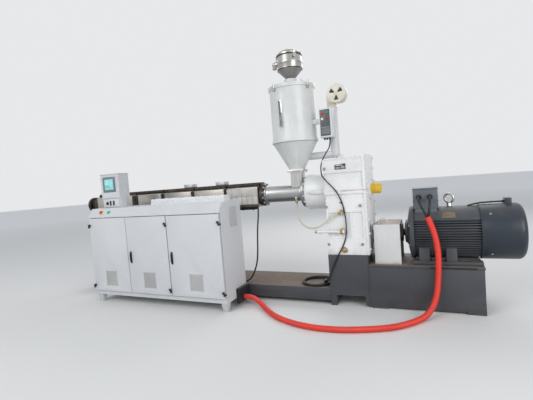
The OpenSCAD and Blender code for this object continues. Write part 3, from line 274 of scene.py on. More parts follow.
heater_route = [
    (0.112, 0.192, 1.185), (0.112, 0.192, 1.145), (0.112, 0.187, 1.1), (0.114, 0.171, 1.045),
    (0.116, 0.146, 0.98), (0.118, 0.118, 0.9), (0.12, 0.098, 0.82), (0.122, 0.08, 0.74),
    (0.123, 0.066, 0.655), (0.12, 0.056, 0.575), (0.111, 0.05, 0.5), (0.094, 0.049, 0.432),
    (0.07, 0.049, 0.372), (0.04, 0.049, 0.31), (0.007, 0.049, 0.262), (-0.027, 0.045, 0.232),
    (-0.06, 0.032, 0.217), (-0.087, 0.009, 0.213), (-0.104, -0.02, 0.212), (-0.11, -0.0485, 0.212),
    (-0.11, -0.0625, 0.212),
]
hose_route = [
    (0.66, 0.204, 1.23656), (0.66, 0.204, 1.19656), (0.66, 0.192, 1.14), (0.675, 0.16, 1.07),
    (0.713, 0.116, 1.004), (0.773, 0.064, 0.952), (0.843, 0.016, 0.922), (0.923, -0.022, 0.914),
    (1.003, -0.042, 0.934), (1.073, -0.046, 0.974), (1.123, -0.0445, 1.014), (1.16, -0.0445, 1.045),
    (1.19, -0.0445, 1.065), (1.212, -0.0445, 1.076), (1.232, -0.0445, 1.082), (1.248, -0.0445, 1.084),
    (1.262, -0.0445, 1.084),
]

coil_middle = Vector((0.872, 0.17, 0.2))
coil_turns, coil_steps = 3.75, 90
cable_width = 0.014
for i in range(1, coil_steps + 1):
    turn = coil_turns * i / coil_steps
    inward = min(1.0, max(0.0, (turn - 2.0) / 0.25))
    sinking = max(cable_width / 2, 0.035 - cable_width * turn)
    rise = sinking if turn < 2.25 else cable_width / 2 + cable_width * (turn - 2.25)
    angle = 2 * math.pi * turn - math.radians(8)
    reach = 0.186 - cable_width * inward
    cable_route.append(coil_middle + Vector((reach * math.cos(angle), reach * math.sin(angle), rise)))
for spot in (
    (0.02, -0.171, 0.027), (0.06, -0.158, 0.025), (0.088, -0.128, 0.023), (0.099, -0.09, 0.02),
    (0.1, -0.055, 0.02), (0.1, -0.0345, 0.02),
):
    cable_route.append(coil_middle + Vector(spot))

red_plastic = coated("red_plastic", (0.74, 0.03, 0.014), 0.36, dust=0.12, soil=0.25, scuffs=0.12).done()
black_rubber = coated("black_rubber", (0.005, 0.005, 0.006), 0.42, dust=0.06, soil=0.4).done()
hose_rubber = coated("hose_rubber", (0.60, 0.56, 0.47), 0.42, dust=0.1, soil=0.2, scuffs=0.1).done()

laid(
    "conduit_tube", conduit_route, 0.06, red_plastic, ["red_conduit"],
    step=0.003, sides=7, ribs=(1.0, 1.0, 0.93, 0.93), far_end="bare", stiffness="stiff", lay="loose",
)
for side, route in zip("ab", lead_routes):
    laid(
        "motor_lead_" + side, route, 0.024, black_rubber, ["motor_leads"],
        step=0.006, sides=5, far_end="object", stiffness="medium", lay="loose",
    )
laid(
    "dryer_cable_run", cable_route, cable_width, black_rubber, ["dryer_cable", "cable_coil"],
    step=0.008, sides=3, far_end="plug", stiffness="limp", lay="coiled",
    with_pieces=[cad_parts["cable_plug"]],
)
laid(
    "heater_cable_run", heater_route, 0.02, black_rubber, ["heater_cable"],
    step=0.008, sides=4, far_end="object", stiffness="medium", lay="hanging",
)
laid(
    "water_hose_run", hose_route, 0.022, hose_rubber, ["water_hose"],
    step=0.008, sides=4, far_end="object", stiffness="medium", lay="hanging",
)


# The cords end in moulded and machined fittings: the gland box low on the
# cabinet's wall, the cable's plug, and brass connectors for the water hose.
def middle_of(node):
    """The centre of a CAD node's box."""
    low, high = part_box(node)
    return (Vector(low) + Vector(high)) / 2


def block(form, low, high, soft=0.0):
    """Adds a block between two corners, its edges rounded by a small radius."""
    low, high = Vector(low), Vector(high)
    place = Matrix.LocRotScale((low + high) / 2, None, high - low)
    cube = bmesh.ops.create_cube(form, size=1.0, matrix=place)
    if soft:
        rounded(form, list({edge for vert in cube["verts"] for edge in vert.link_edges}), soft)


def rounded(form, edges, soft):
    """Rounds edges, and marks the new faces so that paint can wear there."""
    edge_mark = form.faces.layers.float.get("edge") or form.faces.layers.float.new("edge")
    made = bmesh.ops.bevel(
        form, geom=edges, offset=soft, offset_type="OFFSET", segments=2, profile=0.5,
        affect="EDGES", clamp_overlap=True, material=-1,
    )
    for face in made["faces"]:
        face[edge_mark] = 1.0


def rod(form, start, end, radius, sides=20, tip=None, soft=0.0):
    """Adds a round bar, or a cone where it has another radius at its tip."""
    start, end = Vector(start), Vector(end)
    turn = (end - start).to_track_quat("Z", "Y")
    bar = bmesh.ops.create_cone(
        form, cap_ends=True, segments=sides, radius1=radius, radius2=radius if tip is None else tip,
        depth=(end - start).length, matrix=Matrix.LocRotScale((start + end) / 2, turn, None),
    )
    if soft:
        ends = {face for vert in bar["verts"] for face in vert.link_faces if len(face.verts) > 4}
        rounded(form, list({edge for face in ends for edge in face.edges}), soft)


def studs(form, way, radius, sides, spots):
    """Adds a short round bar along a way at each spot."""
    for spot in map(Vector, spots):
        rod(form, spot, spot + Vector(way), radius, sides)


def around(middle, axis, reach, count, start=None):
    """Spots round the x, y or z axis, from an angle in degrees or from half a step."""
    start = 180.0 / count if start is None else start
    for i in range(count):
        turn = math.radians(start + 360.0 * i / count)
        spot = [reach * math.cos(turn), reach * math.sin(turn)]
        spot.insert("xyz".index(axis), 0.0)
        yield Vector(middle) + Vector(spot)


def stamped(form, part, *places):
    """Adds a copy of a small form at each place, and closes the small form."""
    mesh = bpy.data.meshes.new("stamp")
    part.to_mesh(mesh)
    part.free()
    for place in places:
        mesh.transform(place)
        form.from_mesh(mesh)
        mesh.transform(place.inverted())
    bpy.data.meshes.remove(mesh)


def softened(soft, *nodes):
    """Copies CAD nodes, and rounds their sharp edges unless soft is 0."""
    if len(nodes) > 1:
        form = softened(soft, nodes[0])
        stamped(form, softened(soft, *nodes[1:]), Matrix())
        return form
    form = bmesh.new()
    form.from_mesh(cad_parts[nodes[0]].data)
    bmesh.ops.remove_doubles(form, verts=form.verts, dist=1e-5)
    if not soft:
        return form
    bmesh.ops.dissolve_limit(form, angle_limit=math.radians(0.6), verts=form.verts, edges=form.edges)
    sharp = math.radians(35)
    paired = (edge for edge in form.edges if len(edge.link_faces) == 2)
    crisp = [edge for edge in paired if edge.calc_face_angle(0.0) > sharp]
    rounded(form, crisp, soft)
    return form


def fit(name, form, finish, *nodes, body="machine", corner=28.0):
    """Makes a form one piece, smooth across all but its crisp corners."""
    for edge in form.edges:
        edge.smooth = len(edge.link_faces) == 2 and edge.calc_face_angle(0.0) < math.radians(corner)
    for face in form.faces:
        face.smooth = True
        face.material_index = 0
    mesh = bpy.data.meshes.new(name)
    form.to_mesh(mesh)
    form.free()
    placed(bpy.data.objects.new(name, mesh), finish, nodes, body)


coat = coated("black_plastic", (0.010, 0.010, 0.012), 0.4, dust=0.15, soil=0.4)
coat.relief(coat.noise(900.0, 1.0) * 0.00002)
black_plastic = coat.done()

gland_y, gland_z = conduit_route[0][1:]
gland = softened(0.002, "conduit_gland")
for x in (0.004, 0.014, 0.024, 0.034):
    rod(gland, (x, gland_y, gland_z), (x + 0.005, gland_y, gland_z), 0.0395, 32)
studs(gland, (0.004, 0, 0), 0.006, 12, product((0.019,), (-0.325, -0.08), (0.058, 0.206)))
fit("gland_box", gland, black_plastic, "conduit_gland")

plug = softened(0.003, "cable_plug")
plug_x, plug_y, plug_z = middle_of("cable_plug")
plug_half = plug_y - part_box("cable_plug")[0][1]
grips = [(plug_x, plug_y - plug_half + 0.003 + 0.007 * i, plug_z) for i in range(4)]
studs(plug, (0, 0.003, 0), 0.0165, 20, grips)
pins = around((plug_x, plug_y + plug_half - 0.001, plug_z), "y", 0.01, 3, 90)
studs(plug, (0, 0.018, 0), 0.003, 10, pins)
fit("plug_body", plug, black_plastic, "cable_plug")

brass = Finish("brass", (0.48, 0.34, 0.15), 0.34, 1.0, slot="bare_steel").tone(90.0, 0.75, 1.05).done()
feed_tap_x, feed_tap_y = hose_route[0][:2]
tap_y, tap_z = hose_route[-1][1:]
hose_ends = bmesh.new()
fitting = ((1.232, 1.262, 0.0135, 24), (1.258, 1.274, 0.021, 6), (1.27, 1.3, 0.017, 24))
for start, stop, radius, sides in fitting:
    rod(hose_ends, (start, tap_y, tap_z), (stop, tap_y, tap_z), radius, sides, soft=0.001)
rod(hose_ends, (1.284, tap_y, tap_z), (1.284, tap_y, 1.124), 0.009, 16)
block(hose_ends, (1.252, tap_y - 0.007, 1.12), (1.3, tap_y + 0.007, 1.126), 0.002)
for low, high, radius, sides in ((1.205, 1.236, 0.0135, 24), (1.222, 1.24, 0.021, 6)):
    rod(hose_ends, (feed_tap_x, feed_tap_y, low), (feed_tap_x, feed_tap_y, high), radius, sides, soft=0.001)
fit("hose_connectors", hose_ends, brass)


# The base is welded from thick plate: a tall pedestal under the gearbox, a
# lower deck under the motor and a flat bed under the barrel, all sprayed
# dark blue grey, with pads and levelling screws on the floor.
_, axis_y, axis_z = middle_of("feed_ring")
upward = (0, 0, 1)


def painted(name, colour, roughness, cast=0.0, chips=0.5, chip_colour=(0.10, 0.09, 0.085), **facts):
    """Enamel with orange peel or cast grain, chipped along worn edges."""
    finish = coated(name, colour, roughness, **facts)
    finish.layer(finish.edge * finish.patches(48.0, 0.54, 0.6) * chips, chip_colour, 0.6)
    finish.relief(finish.noise(420.0, 1.0) * 0.00003)
    if cast:
        finish.relief(finish.noise(120.0, 4.0) * 0.0006 * cast)
    return finish


def bolts(form, axis, width, spots):
    """Adds a hexagon head on its washer at each spot."""
    axis = Vector(axis)
    for spot in map(Vector, spots):
        rod(form, spot, spot + 0.15 * width * axis, 0.72 * width, 14)
        top = spot + 0.8 * width * axis
        rod(form, spot + 0.14 * width * axis, top, 0.56 * width, 6, soft=0.05 * width)


def pushed(form, rim, way):
    """Extrudes a rim of edges, and returns the new faces, corners and rim."""
    made = bmesh.ops.extrude_edge_only(form, edges=rim)["geom"]
    faces, verts, edges = (
        [part for part in made if isinstance(part, kind)]
        for kind in (bmesh.types.BMFace, bmesh.types.BMVert, bmesh.types.BMEdge)
    )
    bmesh.ops.translate(form, verts=verts, vec=way)
    return faces, verts, [edge for edge in edges if all(vert in verts for vert in edge.verts)]


def pipe(form, line, radius, sides):
    """Draws a round pipe along a line of points."""
    line = [Vector(p) for p in line]
    ways = [(b - a).normalized() for a, b in zip(line, line[1:])]
    ways = [ways[0], *((a + b).normalized() for a, b in zip(ways, ways[1:])), ways[-1]]
    start = Matrix.LocRotScale(line[0], ways[0].to_track_quat("Z", "Y"), None)
    ring = bmesh.ops.create_circle(form, cap_ends=True, segments=sides, radius=radius, matrix=start)["verts"]
    faces = [ring[0].link_faces[0]]
    rim = list(faces[0].edges)
    for spot, last_spot, way, last_way in zip(line[1:], line, ways[1:], ways):
        walls, ring, rim = pushed(form, rim, spot - last_spot)
        bend = last_way.rotation_difference(way).to_matrix()
        bmesh.ops.rotate(form, verts=ring, cent=spot, matrix=bend)
        faces += walls
    faces += bmesh.ops.contextual_create(form, geom=rim)["faces"]
    bmesh.ops.recalc_face_normals(form, faces=faces)


def dressed(finish, *rows):
    """Puts softened copies in the place of CAD nodes, each row a name, a softness and a node."""
    for name, soft, node in rows:
        fit(name, softened(soft, node), finish, node)


base_colour = (0.049, 0.053, 0.062)
coat = painted("base_paint", base_colour, 0.4, dust=0.35, soil=0.45, scuffs=0.06)
coat.layer(coat.patches(2.4, 0.55, 0.8, stretch=(0.5, 1.0, 1.4)) * 0.22, (0.15, 0.15, 0.16), 0.6)
trodden = coat.between("up", 0.6, 0.95) * coat.inside("z", 0.485, 0.495, 0.002)
coat.layer(trodden * (coat.patches(6.0, 0.3, 0.6) * 0.5 + 0.3), (0.19, 0.13, 0.095), 0.8)
base_paint = coat.done()

coat = painted("bed_paint", base_colour, 0.4, dust=0.3, soil=0.45, scuffs=0.06, slot="base_paint")
on_top = coat.between("up", 0.6, 0.95)
trodden = on_top * (coat.patches(5.0, 0.28, 0.62, stretch=(0.3, 1.0, 1.0)) * 0.6 + 0.38)
coat.layer(trodden, (0.175, 0.128, 0.092), 0.8)
coat.layer(on_top * coat.patches(14.0, 0.6, 0.7) * 0.4, (0.34, 0.27, 0.19), 0.7)
dressed(coat.done(), ("barrel_bed", 0.004, "low_beams"))

coat = Finish("dark_steel", (0.065, 0.058, 0.052), 0.42, 0.8)
coat.tone(14.0, 0.6, 1.3)
coat.layer(coat.patches(30.0, 0.52, 0.7) * 0.35, (0.16, 0.10, 0.065), 0.7, 0.2)
dark_steel = coat.done()

dressed(
    base_paint, ("pedestal_box", 0.004, "base_pedestal"), ("floor_pads", 0.002, "base_feet"),
    ("barrel_saddles", 0.002, "barrel_stands"), ("rail_pair", 0.003, "motor_rails"),
)

deck = softened(0.004, "base_deck")
(deck_left, deck_front, _), (deck_right, deck_back, _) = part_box("base_deck")
plate_low = (deck_left + 0.002, deck_front - 0.006, 0.47)
block(deck, plate_low, (deck_right + 0.006, deck_back + 0.006, 0.4898), 0.002)
for y in (deck_front - 0.001, deck_back + 0.001):
    pipe(deck, [(deck_left, y, 0.03), (deck_left, y, 0.47)], 0.005, 8)
    pipe(deck, [(deck_left, y, 0.466), (deck_right, y, 0.466)], 0.004, 8)
    block(deck, (deck_right - 0.17, y - 0.002, 0.0205), (deck_right, y + 0.002, 0.1), 0.001)
fit("motor_deck", deck, base_paint, "base_deck")

# Painted shade: a thin black strip on the front and the back of the deck's plate stands for the shaded hollow
# of a slot.
slot_shade = bmesh.new()
for y in (deck_front - 0.0068, deck_back + 0.0038):
    block(slot_shade, (2.17, y, 0.468), (2.6, y + 0.003, 0.4885), 0.0005)
fit("rail_slots", slot_shade, black_plastic)

heads = bmesh.new()
bolts(heads, upward, 0.03, product((1.118,), (-0.006, 0.581), (0.0198,)))
bolts(heads, upward, 0.05, product((-2.717, -1.392, -0.105), (axis_y - 0.265, axis_y + 0.265), (0.024,)))
bolts(heads, upward, 0.026, product((2.07, 2.17, 2.33, 2.43), (axis_y - 0.252, axis_y + 0.252), (0.56,)))
fit("holding_bolts", heads, dark_steel)


# The gearbox is a white painted iron casting in two halves with a heavy
# block on top, closed by a bolted end plate, with a round thrust housing
# on the barrel's side, an oil pipe, a ring sight and a yellow shaft cap.
frontward = (0, -1, 0)
to_motor, to_die = (1, 0, 0), (-1, 0, 0)


def blocks(*rows):
    """A form of blocks, each row a low corner, a high corner and how soft its edges are."""
    form = bmesh.new()
    for row in rows:
        block(form, *row)
    return form


def turned(form, spot, axis, outline, sides=64):
    """Turns an outline of (distance along the axis, radius) as on a lathe, ring or solid."""
    place = Matrix.LocRotScale(Vector(spot), Vector(axis).to_track_quat("Z", "Y"), None)
    is_ring = outline[0][1] > 0 and outline[-1][1] > 0
    if not is_ring:
        outline = [(outline[0][0], 0.0), *outline, (outline[-1][0], 0.0)]
    part = bmesh.new()
    corners = [part.verts.new(place @ Vector((radius, 0.0, along))) for along, radius in outline]
    pairs = list(zip(corners, corners[1:])) + [(corners[-1], corners[0])] * is_ring
    lines = [part.edges.new(pair) for pair in pairs]
    bmesh.ops.spin(
        part, geom=corners + lines, cent=spot, axis=axis, angle=2 * math.pi, steps=sides,
        use_merge=True, use_duplicate=False,
    )
    bmesh.ops.remove_doubles(part, verts=part.verts, dist=1e-5)
    bmesh.ops.recalc_face_normals(part, faces=part.faces)
    stamped(form, part, Matrix())


coat = painted(
    "white_cast", (0.77, 0.775, 0.77), 0.36, cast=1.0, chips=0.25, chip_colour=(0.32, 0.29, 0.26), dust=0.2
)
joint = coat.inside("z", 1.333, 1.345, 0.006) * coat.inside("x", 1.31, 1.56, 0.05)
joint = joint + coat.inside("z", 1.322, 1.34, 0.008) * coat.inside("x", 0.87, 0.95, 0.04)
stained = joint * (coat.patches(9.0, 0.35, 0.65, stretch=(1, 1, 3)) * 0.45 + 0.15)
coat.layer(stained, (0.42, 0.24, 0.18), 0.6)
runs = coat.inside("z", 1.19, 1.33, 0.05) * coat.patches(26.0, 0.6, 0.74, stretch=(1, 1, 0.08))
coat.layer(runs * 0.2, (0.5, 0.45, 0.38), 0.5)
low_rim = coat.inside("z", 0.6, 0.66, 0.03) * coat.patches(9.0, 0.45, 0.7)
coat.layer(low_rim * 0.35, (0.30, 0.27, 0.24))
coat.layer(coat.patches(3.2, 0.56, 0.74) * 0.1, (0.56, 0.54, 0.5))
white_cast = coat.done()
dressed(
    white_cast, ("housing_lower", 0.004, "gearbox_lower"), ("housing_upper", 0.005, "gearbox_upper"),
    ("housing_end", 0.004, "gearbox_end_plate"), ("thrust_casting", 0.004, "thrust_housing"),
)

(_, front, _), (end, back, _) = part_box("gearbox_end_plate")
ring_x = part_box("feed_ring")[1][0]
corners = ((1.105, 1.604), (1.1, 1.162), (1.488, 1.162), (1.102, 0.721), (1.488, 0.722))
heads = bmesh.new()
bolts(heads, frontward, 0.024, ((x, front, z) for x, z in corners))
bolts(heads, (0, 1, 0), 0.024, ((x, back, z) for x, z in corners))
coat = coated("grey_bolts", (0.30, 0.29, 0.28), 0.42, dust=0.2, slot="dark_steel")
coat.layer(coat.patches(60.0, 0.5, 0.7) * 0.5, (0.14, 0.10, 0.075), 0.65)
fit("gearbox_bolts", heads, coat.done())

heads = bmesh.new()
rows_z = (0.66, 0.84, 1.0, 1.16, 1.3, 1.42, 1.58, 1.7)
bolts(heads, to_motor, 0.022, product((end - 0.016,), (0.0, 0.575), rows_z))
for z, reach, count in ((0.81, 0.105, 6), (axis_z, 0.114, 8)):
    bolts(heads, to_motor, 0.016, around((end, axis_y, z), "x", reach, count))
bolts(heads, upward, 0.018, product((1.21, 1.3, 1.39, 1.44), (0.125, 0.45), (1.718,)))
bolts(heads, to_die, 0.02, around((ring_x, axis_y, axis_z), "x", 0.196, 16))
flange_x = [0.92 + 0.037 * i for i in range(5)]
bolts(heads, upward, 0.015, product(flange_x, (axis_y - 0.2325, axis_y + 0.2325), (1.351,)))
fit("painted_bolts", heads, white_cast)

plate = blocks(((1.226, -0.0285, 1.583), (1.356, -0.0264, 1.65), 0.0008))
studs(plate, (0, -0.0018, 0), 0.0024, 12, product((1.2315, 1.3505), (-0.028,), (1.5885, 1.6445)))
coat = Finish("etched_plate", (0.045, 0.045, 0.048), 0.35, 0.6, slot="bare_aluminium")
fields = coat.window(0.0008, (1.24, 1.29), (1.594, 1.612)) + coat.window(0.0008, (1.3, 1.343), (1.594, 1.622))
fields = fields + (1 - coat.window(0.0006, (1.23, 1.352), (1.587, 1.646)))
fields = fields + coat.window(0.0008, (1.242, 1.32), (1.628, 1.638))
coat.layer(fields, (0.5, 0.5, 0.5), 0.3, 0.9)
coat.tone(80.0, 0.8, 1.1)
fit("gearbox_plate", plate, coat.done())

sight_x, sight_z = 1.285, 0.657
ring = bmesh.new()
profile = [(0, 0.034), (0.008, 0.034), (0.012, 0.03), (0.012, 0.021), (0.005, 0.02), (0.005, 0)]
turned(ring, (sight_x, front, sight_z), frontward, profile, 32)
studs(ring, (0, -0.0035, 0), 0.003, 10, around((sight_x, front - 0.011, sight_z), "y", 0.027, 6, 0))
fit("oil_sight_ring", ring, brass)
pane = bmesh.new()
profile = [(0.0045, 0.0205), (0.009, 0.0205), (0.0105, 0.016), (0.011, 0)]
turned(pane, (sight_x, front, sight_z), frontward, profile, 32)
coat = Finish("oil_glass", (0.30, 0.13, 0.03), 0.08, slot="clear_glass", Coat_Weight=1.0)
coat.layer(coat.between("z", 0.655, 0.657), (0.42, 0.36, 0.28))
fit("oil_sight_glass", pane, coat.done())

cap = bmesh.new()
turned(cap, (end, axis_y, axis_z), to_motor, [
    (0, 0), (0, 0.063), (0.043, 0.063), (0.045, 0.061), (0.05, 0.061), (0.052, 0.063), (0.101, 0.063),
    (0.106, 0.061), (0.113, 0.05), (0.114, 0.046), (0.111, 0.042), (0.111, 0),
])
coat = coated("yellow_plastic", (0.80, 0.50, 0.02), 0.3, dust=0.2, slot="yellow_paint")
coat.layer(coat.inside("x", 1.63, 1.655, 0.001) * 0.25, (0.86, 0.66, 0.2))
fit("shaft_cap_cup", cap, coat.done(), "shaft_cap")

oil_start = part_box("oil_pipe")[0][0]
oil_x, oil_z = 1.263, 0.875
oil_run = bmesh.new()
turned(oil_run, (oil_start, tap_y, oil_z), to_motor, [
    (0, 0), (0, 0.009), (0.03, 0.0165), (0.034, 0.017), (0.034, 0.023), (0.052, 0.025), (0.074, 0.025),
    (0.076, 0.017), (0.29, 0.017), (0.29, 0.021), (0.33, 0.021), (0.33, 0),
], 32)
rod(oil_run, (oil_x, tap_y, oil_z), (oil_x, -0.0125, oil_z), 0.019, 24)
for x in (1.29, 1.238):
    rod(oil_run, (x - 0.008, tap_y, oil_z), (x + 0.008, tap_y, oil_z), 0.026, 6, soft=0.001)
fit("oil_pipe_run", oil_run, white_cast, "oil_pipe")
valve = bmesh.new()
turned(valve, (oil_x, tap_y, oil_z), upward, [
    (-0.026, 0), (-0.026, 0.014), (-0.014, 0.024), (0.014, 0.024), (0.026, 0.014), (0.04, 0.01), (0.04, 0),
], 24)
block(valve, (1.257, -0.0505, 0.911), (1.318, -0.0385, 0.916), 0.0015)
profile = [(0.015, 0), (0.015, 0.016), (0.02, 0.018), (0.032, 0.018), (0.034, 0)]
turned(valve, (oil_start - 0.016, tap_y, oil_z), to_motor, profile, 24)
fit("oil_valves", valve, brass)

clamp = bmesh.new()
bows = [math.pi * i / 8 for i in range(-8, 9)]
pipe(clamp, [(1.2865 + 0.0085 * math.cos(a), -0.036 + 0.0085 * math.sin(a), 1.205) for a in bows], 0.002, 8)
block(clamp, (1.262, -0.0345, 1.199), (1.281, -0.0262, 1.211), 0.001)
bolts(clamp, frontward, 0.009, [(1.27, -0.034, 1.205)])
fit("cable_clamp", clamp, black_plastic)


# The feed section is a bright turned steel cylinder between a grey ring and
# the dark bolted flange of the barrel, all on the screw's axis.
def band(form, spot, axis, inner, outer, width, sides=64):
    """Adds a flat hoop that starts at a spot on its axis."""
    turned(form, spot, axis, [(0, inner), (0, outer), (width, outer), (width, inner)], sides)


def steel(name, colour, roughness, along, underside_shade, slot="bare_steel"):
    """Bare steel with fine tool lines across one axis and painted shade darkening its downward faces."""
    finish = Finish(name, colour, roughness, 1.0, slot)
    stretch = [1.0 if part == along else 0.04 for part in "xyz"]
    finish.tone(500.0, 0.93, 1.05, detail=2.0, stretch=stretch)
    finish.tone(5.0, 0.9, 1.06)
    finish.relief(finish.noise(420.0, 1.0, stretch) * 0.000004)
    finish.roughness = finish.patches(9.0, 0.3, 0.75) * 0.06 + roughness
    # Painted shade: faces that turn downwards are darkened towards near black, as if in shadow.
    finish.layer((1 - finish.between("up", -0.75, 0.1)) * underside_shade, (0.05, 0.048, 0.045), 0.4, 0.6)
    return finish


turned_steel = steel("turned_steel", (0.43, 0.43, 0.43), 0.32, "x", 0.45).done()
grey_steel = steel("grey_steel", (0.33, 0.34, 0.35), 0.36, "x", 0.3).done()
dressed(grey_steel, ("grey_ring", 0.003, "feed_ring"))
feed = softened(0.0015, "feed_section")
for x in (0.262, 0.71):
    band(feed, (x, axis_y, axis_z), to_motor, 0.105, 0.1095, 0.014)
fit("feed_cylinder", feed, turned_steel, "feed_section")

barrel_end, die_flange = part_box("barrel_tube")[1][0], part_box("die_adaptor")[1][0]
nuts = bmesh.new()
bolts(nuts, to_motor, 0.023, around((barrel_end, axis_y, axis_z), "x", 0.135, 12))
bolts(nuts, to_die, 0.024, around((die_flange - 0.04, axis_y, axis_z), "x", 0.103, 8))
zinc = Finish("bright_zinc", (0.52, 0.52, 0.50), 0.34, 1.0, slot="bare_steel").tone(50.0, 0.75, 1.05).done()
fit("flange_nuts", nuts, zinc)
dressed(dark_steel, ("barrel_core", 0.003, "barrel_tube"), ("outlet_adaptor", 0.003, "die_adaptor"))


# The heater zones are boxed in stainless covers held by black toggle clips,
# with dark slotted strips on top and white ceramic panels beside the feed.
both_ways = (-1, 1)
seams = [-2.52, -1.975, -1.43, -0.885, -0.34]
spans = list(zip([-2.79, *seams], [*seams, 0.16]))
coat = steel("cover_steel", (0.50, 0.47, 0.43), 0.3, "z", 0.25, slot="cover_steel")
coat.layer(coat.patches(4.0, 0.5, 0.75) * 0.3, (0.30, 0.26, 0.22), 0.45)
cover_steel = coat.done()
covers = softened(0.003, "zone_covers")
panels = bmesh.new()
for (_, y, _), out in zip(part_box("zone_covers"), both_ways):
    for start, stop in spans[:-1]:
        screws_x = (start + 0.04, (start + stop) / 2, stop - 0.04)
        studs(covers, (0, 0.003 * out, 0), 0.006, 10, product(screws_x, (y,), (1.245, 1.425)))
        block(covers, (start + 0.03, y - 0.0015, 1.332), (stop - 0.03, y + 0.0015, 1.338), 0.0008)
    for i, (low, high) in product(range(6), ((1.226, 1.328), (1.336, 1.438))):
        x = -0.322 + 0.0775 * i
        block(panels, (x, y - 0.003, low), (x + 0.07, y + 0.003, high), 0.002)
fit("heater_covers", covers, cover_steel, "zone_covers")
ceramic = coated("ceramic", (0.56, 0.55, 0.52), 0.55, dust=0.1, slot="white_cast")
fit("ceramic_panels", panels, ceramic.tone(13.0, 0.78, 1.05).done())

coat = Finish("strip_dark", (0.045, 0.035, 0.03), 0.5, 0.6, slot="dark_steel")
coat.tone(24.0, 0.6, 1.3)
coat.layer(coat.patches(42.0, 0.58, 0.68) * 0.5, (0.22, 0.18, 0.14), 0.6, 0.3)
strips = softened(0.002, "cover_strips")
(_, _, strip_foot), (_, _, strip_top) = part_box("cover_strips")
for start, stop in spans:
    for i in range(int((stop - start - 0.05) / 0.03)):
        x = start + 0.035 + 0.03 * i
        for y in (axis_y - 0.106, axis_y + 0.106):
            block(strips, (x, y - 0.0025, strip_foot + 0.006), (x + 0.016, y + 0.0025, strip_foot + 0.022))
        block(strips, (x, axis_y - 0.06, strip_top - 0.001), (x + 0.008, axis_y + 0.06, strip_top + 0.002))
fit("slotted_strips", strips, coat.done(), "cover_strips")

clips = softened(0.0015, "cover_clips")
for x, ((_, y, _), out) in product(seams, zip(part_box("cover_clips"), both_ways)):
    bail = [(-0.014, 0.004, 1.39), (-0.014, 0.007, 1.45), (-0.006, -0.002, 1.466)]
    bail = bail + [(-dx, dy, z) for dx, dy, z in reversed(bail)]
    pipe(clips, [(x + dx, y + dy * out, z) for dx, dy, z in bail], 0.0022, 8)
    near, far = sorted((y, y + 0.009 * out))
    block(clips, (x - 0.011, near, 1.365), (x + 0.011, far, 1.415), 0.0015)
fit("toggle_clips", clips, black_plastic, "cover_clips")

aluminium = Finish("satin_aluminium", (0.58, 0.59, 0.60), 0.38, 1.0, slot="bare_aluminium")
boxes = softened(0.002, "terminal_boxes")
(box_left, box_front, _), (box_right, box_back, box_top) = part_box("terminal_boxes")
for x in (box_left, box_right - 0.14715):
    lid_low = (x - 0.003, box_front - 0.003, box_top - 0.006)
    block(boxes, lid_low, (x + 0.1501, box_back + 0.003, box_top + 0.003), 0.001)
    spots = product((x + 0.012, x + 0.135), (box_front + 0.01, box_back - 0.01), (box_top + 0.002,))
    studs(boxes, (0, 0, 0.004), 0.005, 12, spots)
fit("wire_boxes", boxes, aluminium.tone(20.0, 0.85, 1.05).done(), "terminal_boxes")

fans = softened(0.003, "zone_fans")
for (start, stop), out in product(spans[1:-1], both_ways):
    for reach in (0.03, 0.05, 0.07, 0.088) if out < 0 else (0.088,):
        middle = ((start + stop) / 2, axis_y + 0.045 * out, 1.035)
        band(fans, middle, (0, out, 0), reach - 0.003, reach + 0.003, 0.003, 32)
fit("cooling_fans", fans, painted("grey_paint", (0.20, 0.21, 0.22), 0.45, dust=0.4).done(), "zone_fans")
wiring = bmesh.new()
for y, z in ((0.192, 1.172), (0.212, 1.174), (0.202, 1.156)):
    bent = [(0.06, y, z + 0.001), (0.1, y, z + 0.006), (0.112, y, 1.186)]
    pipe(wiring, [(-0.33, y, z), (-0.1, y, z), *bent], 0.0095, 10)
for x in (-0.28, -0.12, 0.03):
    block(wiring, (x, 0.178, 1.143), (x + 0.014, 0.226, 1.1865), 0.002)
fit("heater_wiring", wiring, black_rubber)


# The hopper dryer is rolled from painted sheet, with a cone on a square
# throat, a clamped lid, a window and, on top, a stainless vacuum loader.
hopper_x = middle_of("feed_throat").x
coat = painted(
    "hopper_paint", (0.66, 0.675, 0.66), 0.3, dust=0.12, chips=0.2, chip_colour=(0.4, 0.4, 0.4)
)
coat.layer(coat.patches(9.0, 0.52, 0.72, stretch=(1, 1, 0.12)) * 0.14, (0.44, 0.44, 0.41), 0.45)
coat.layer(coat.inside("z", 1.968, 1.973, 0.003) * 0.5, (0.22, 0.21, 0.2), 0.6)
hopper_paint = coat.done()


def latch(form, spot, outward, size):
    """Adds a toggle latch: base plate, lever, hook wire and pivot."""
    part = bmesh.new()
    block(part, (-0.3, -0.02, -0.9), (0.3, 0.06, 0.1), 0.02)
    block(part, (-0.22, 0.05, -0.8), (0.22, 0.2, 0.0), 0.03)
    half = [(-0.24, 0.14, -0.3), (-0.24, 0.16, 0.4), (-0.12, 0.1, 0.62)]
    pipe(part, half + [(-x, y, z) for x, y, z in reversed(half)], 0.045, 8)
    rod(part, (-0.32, 0.13, -0.3), (0.32, 0.13, -0.3), 0.07, 10)
    turn = Matrix.Rotation(math.atan2(-outward.x, outward.y), 4, "Z")
    stamped(form, part, Matrix.Translation(spot) @ turn @ Matrix.Scale(size, 4))


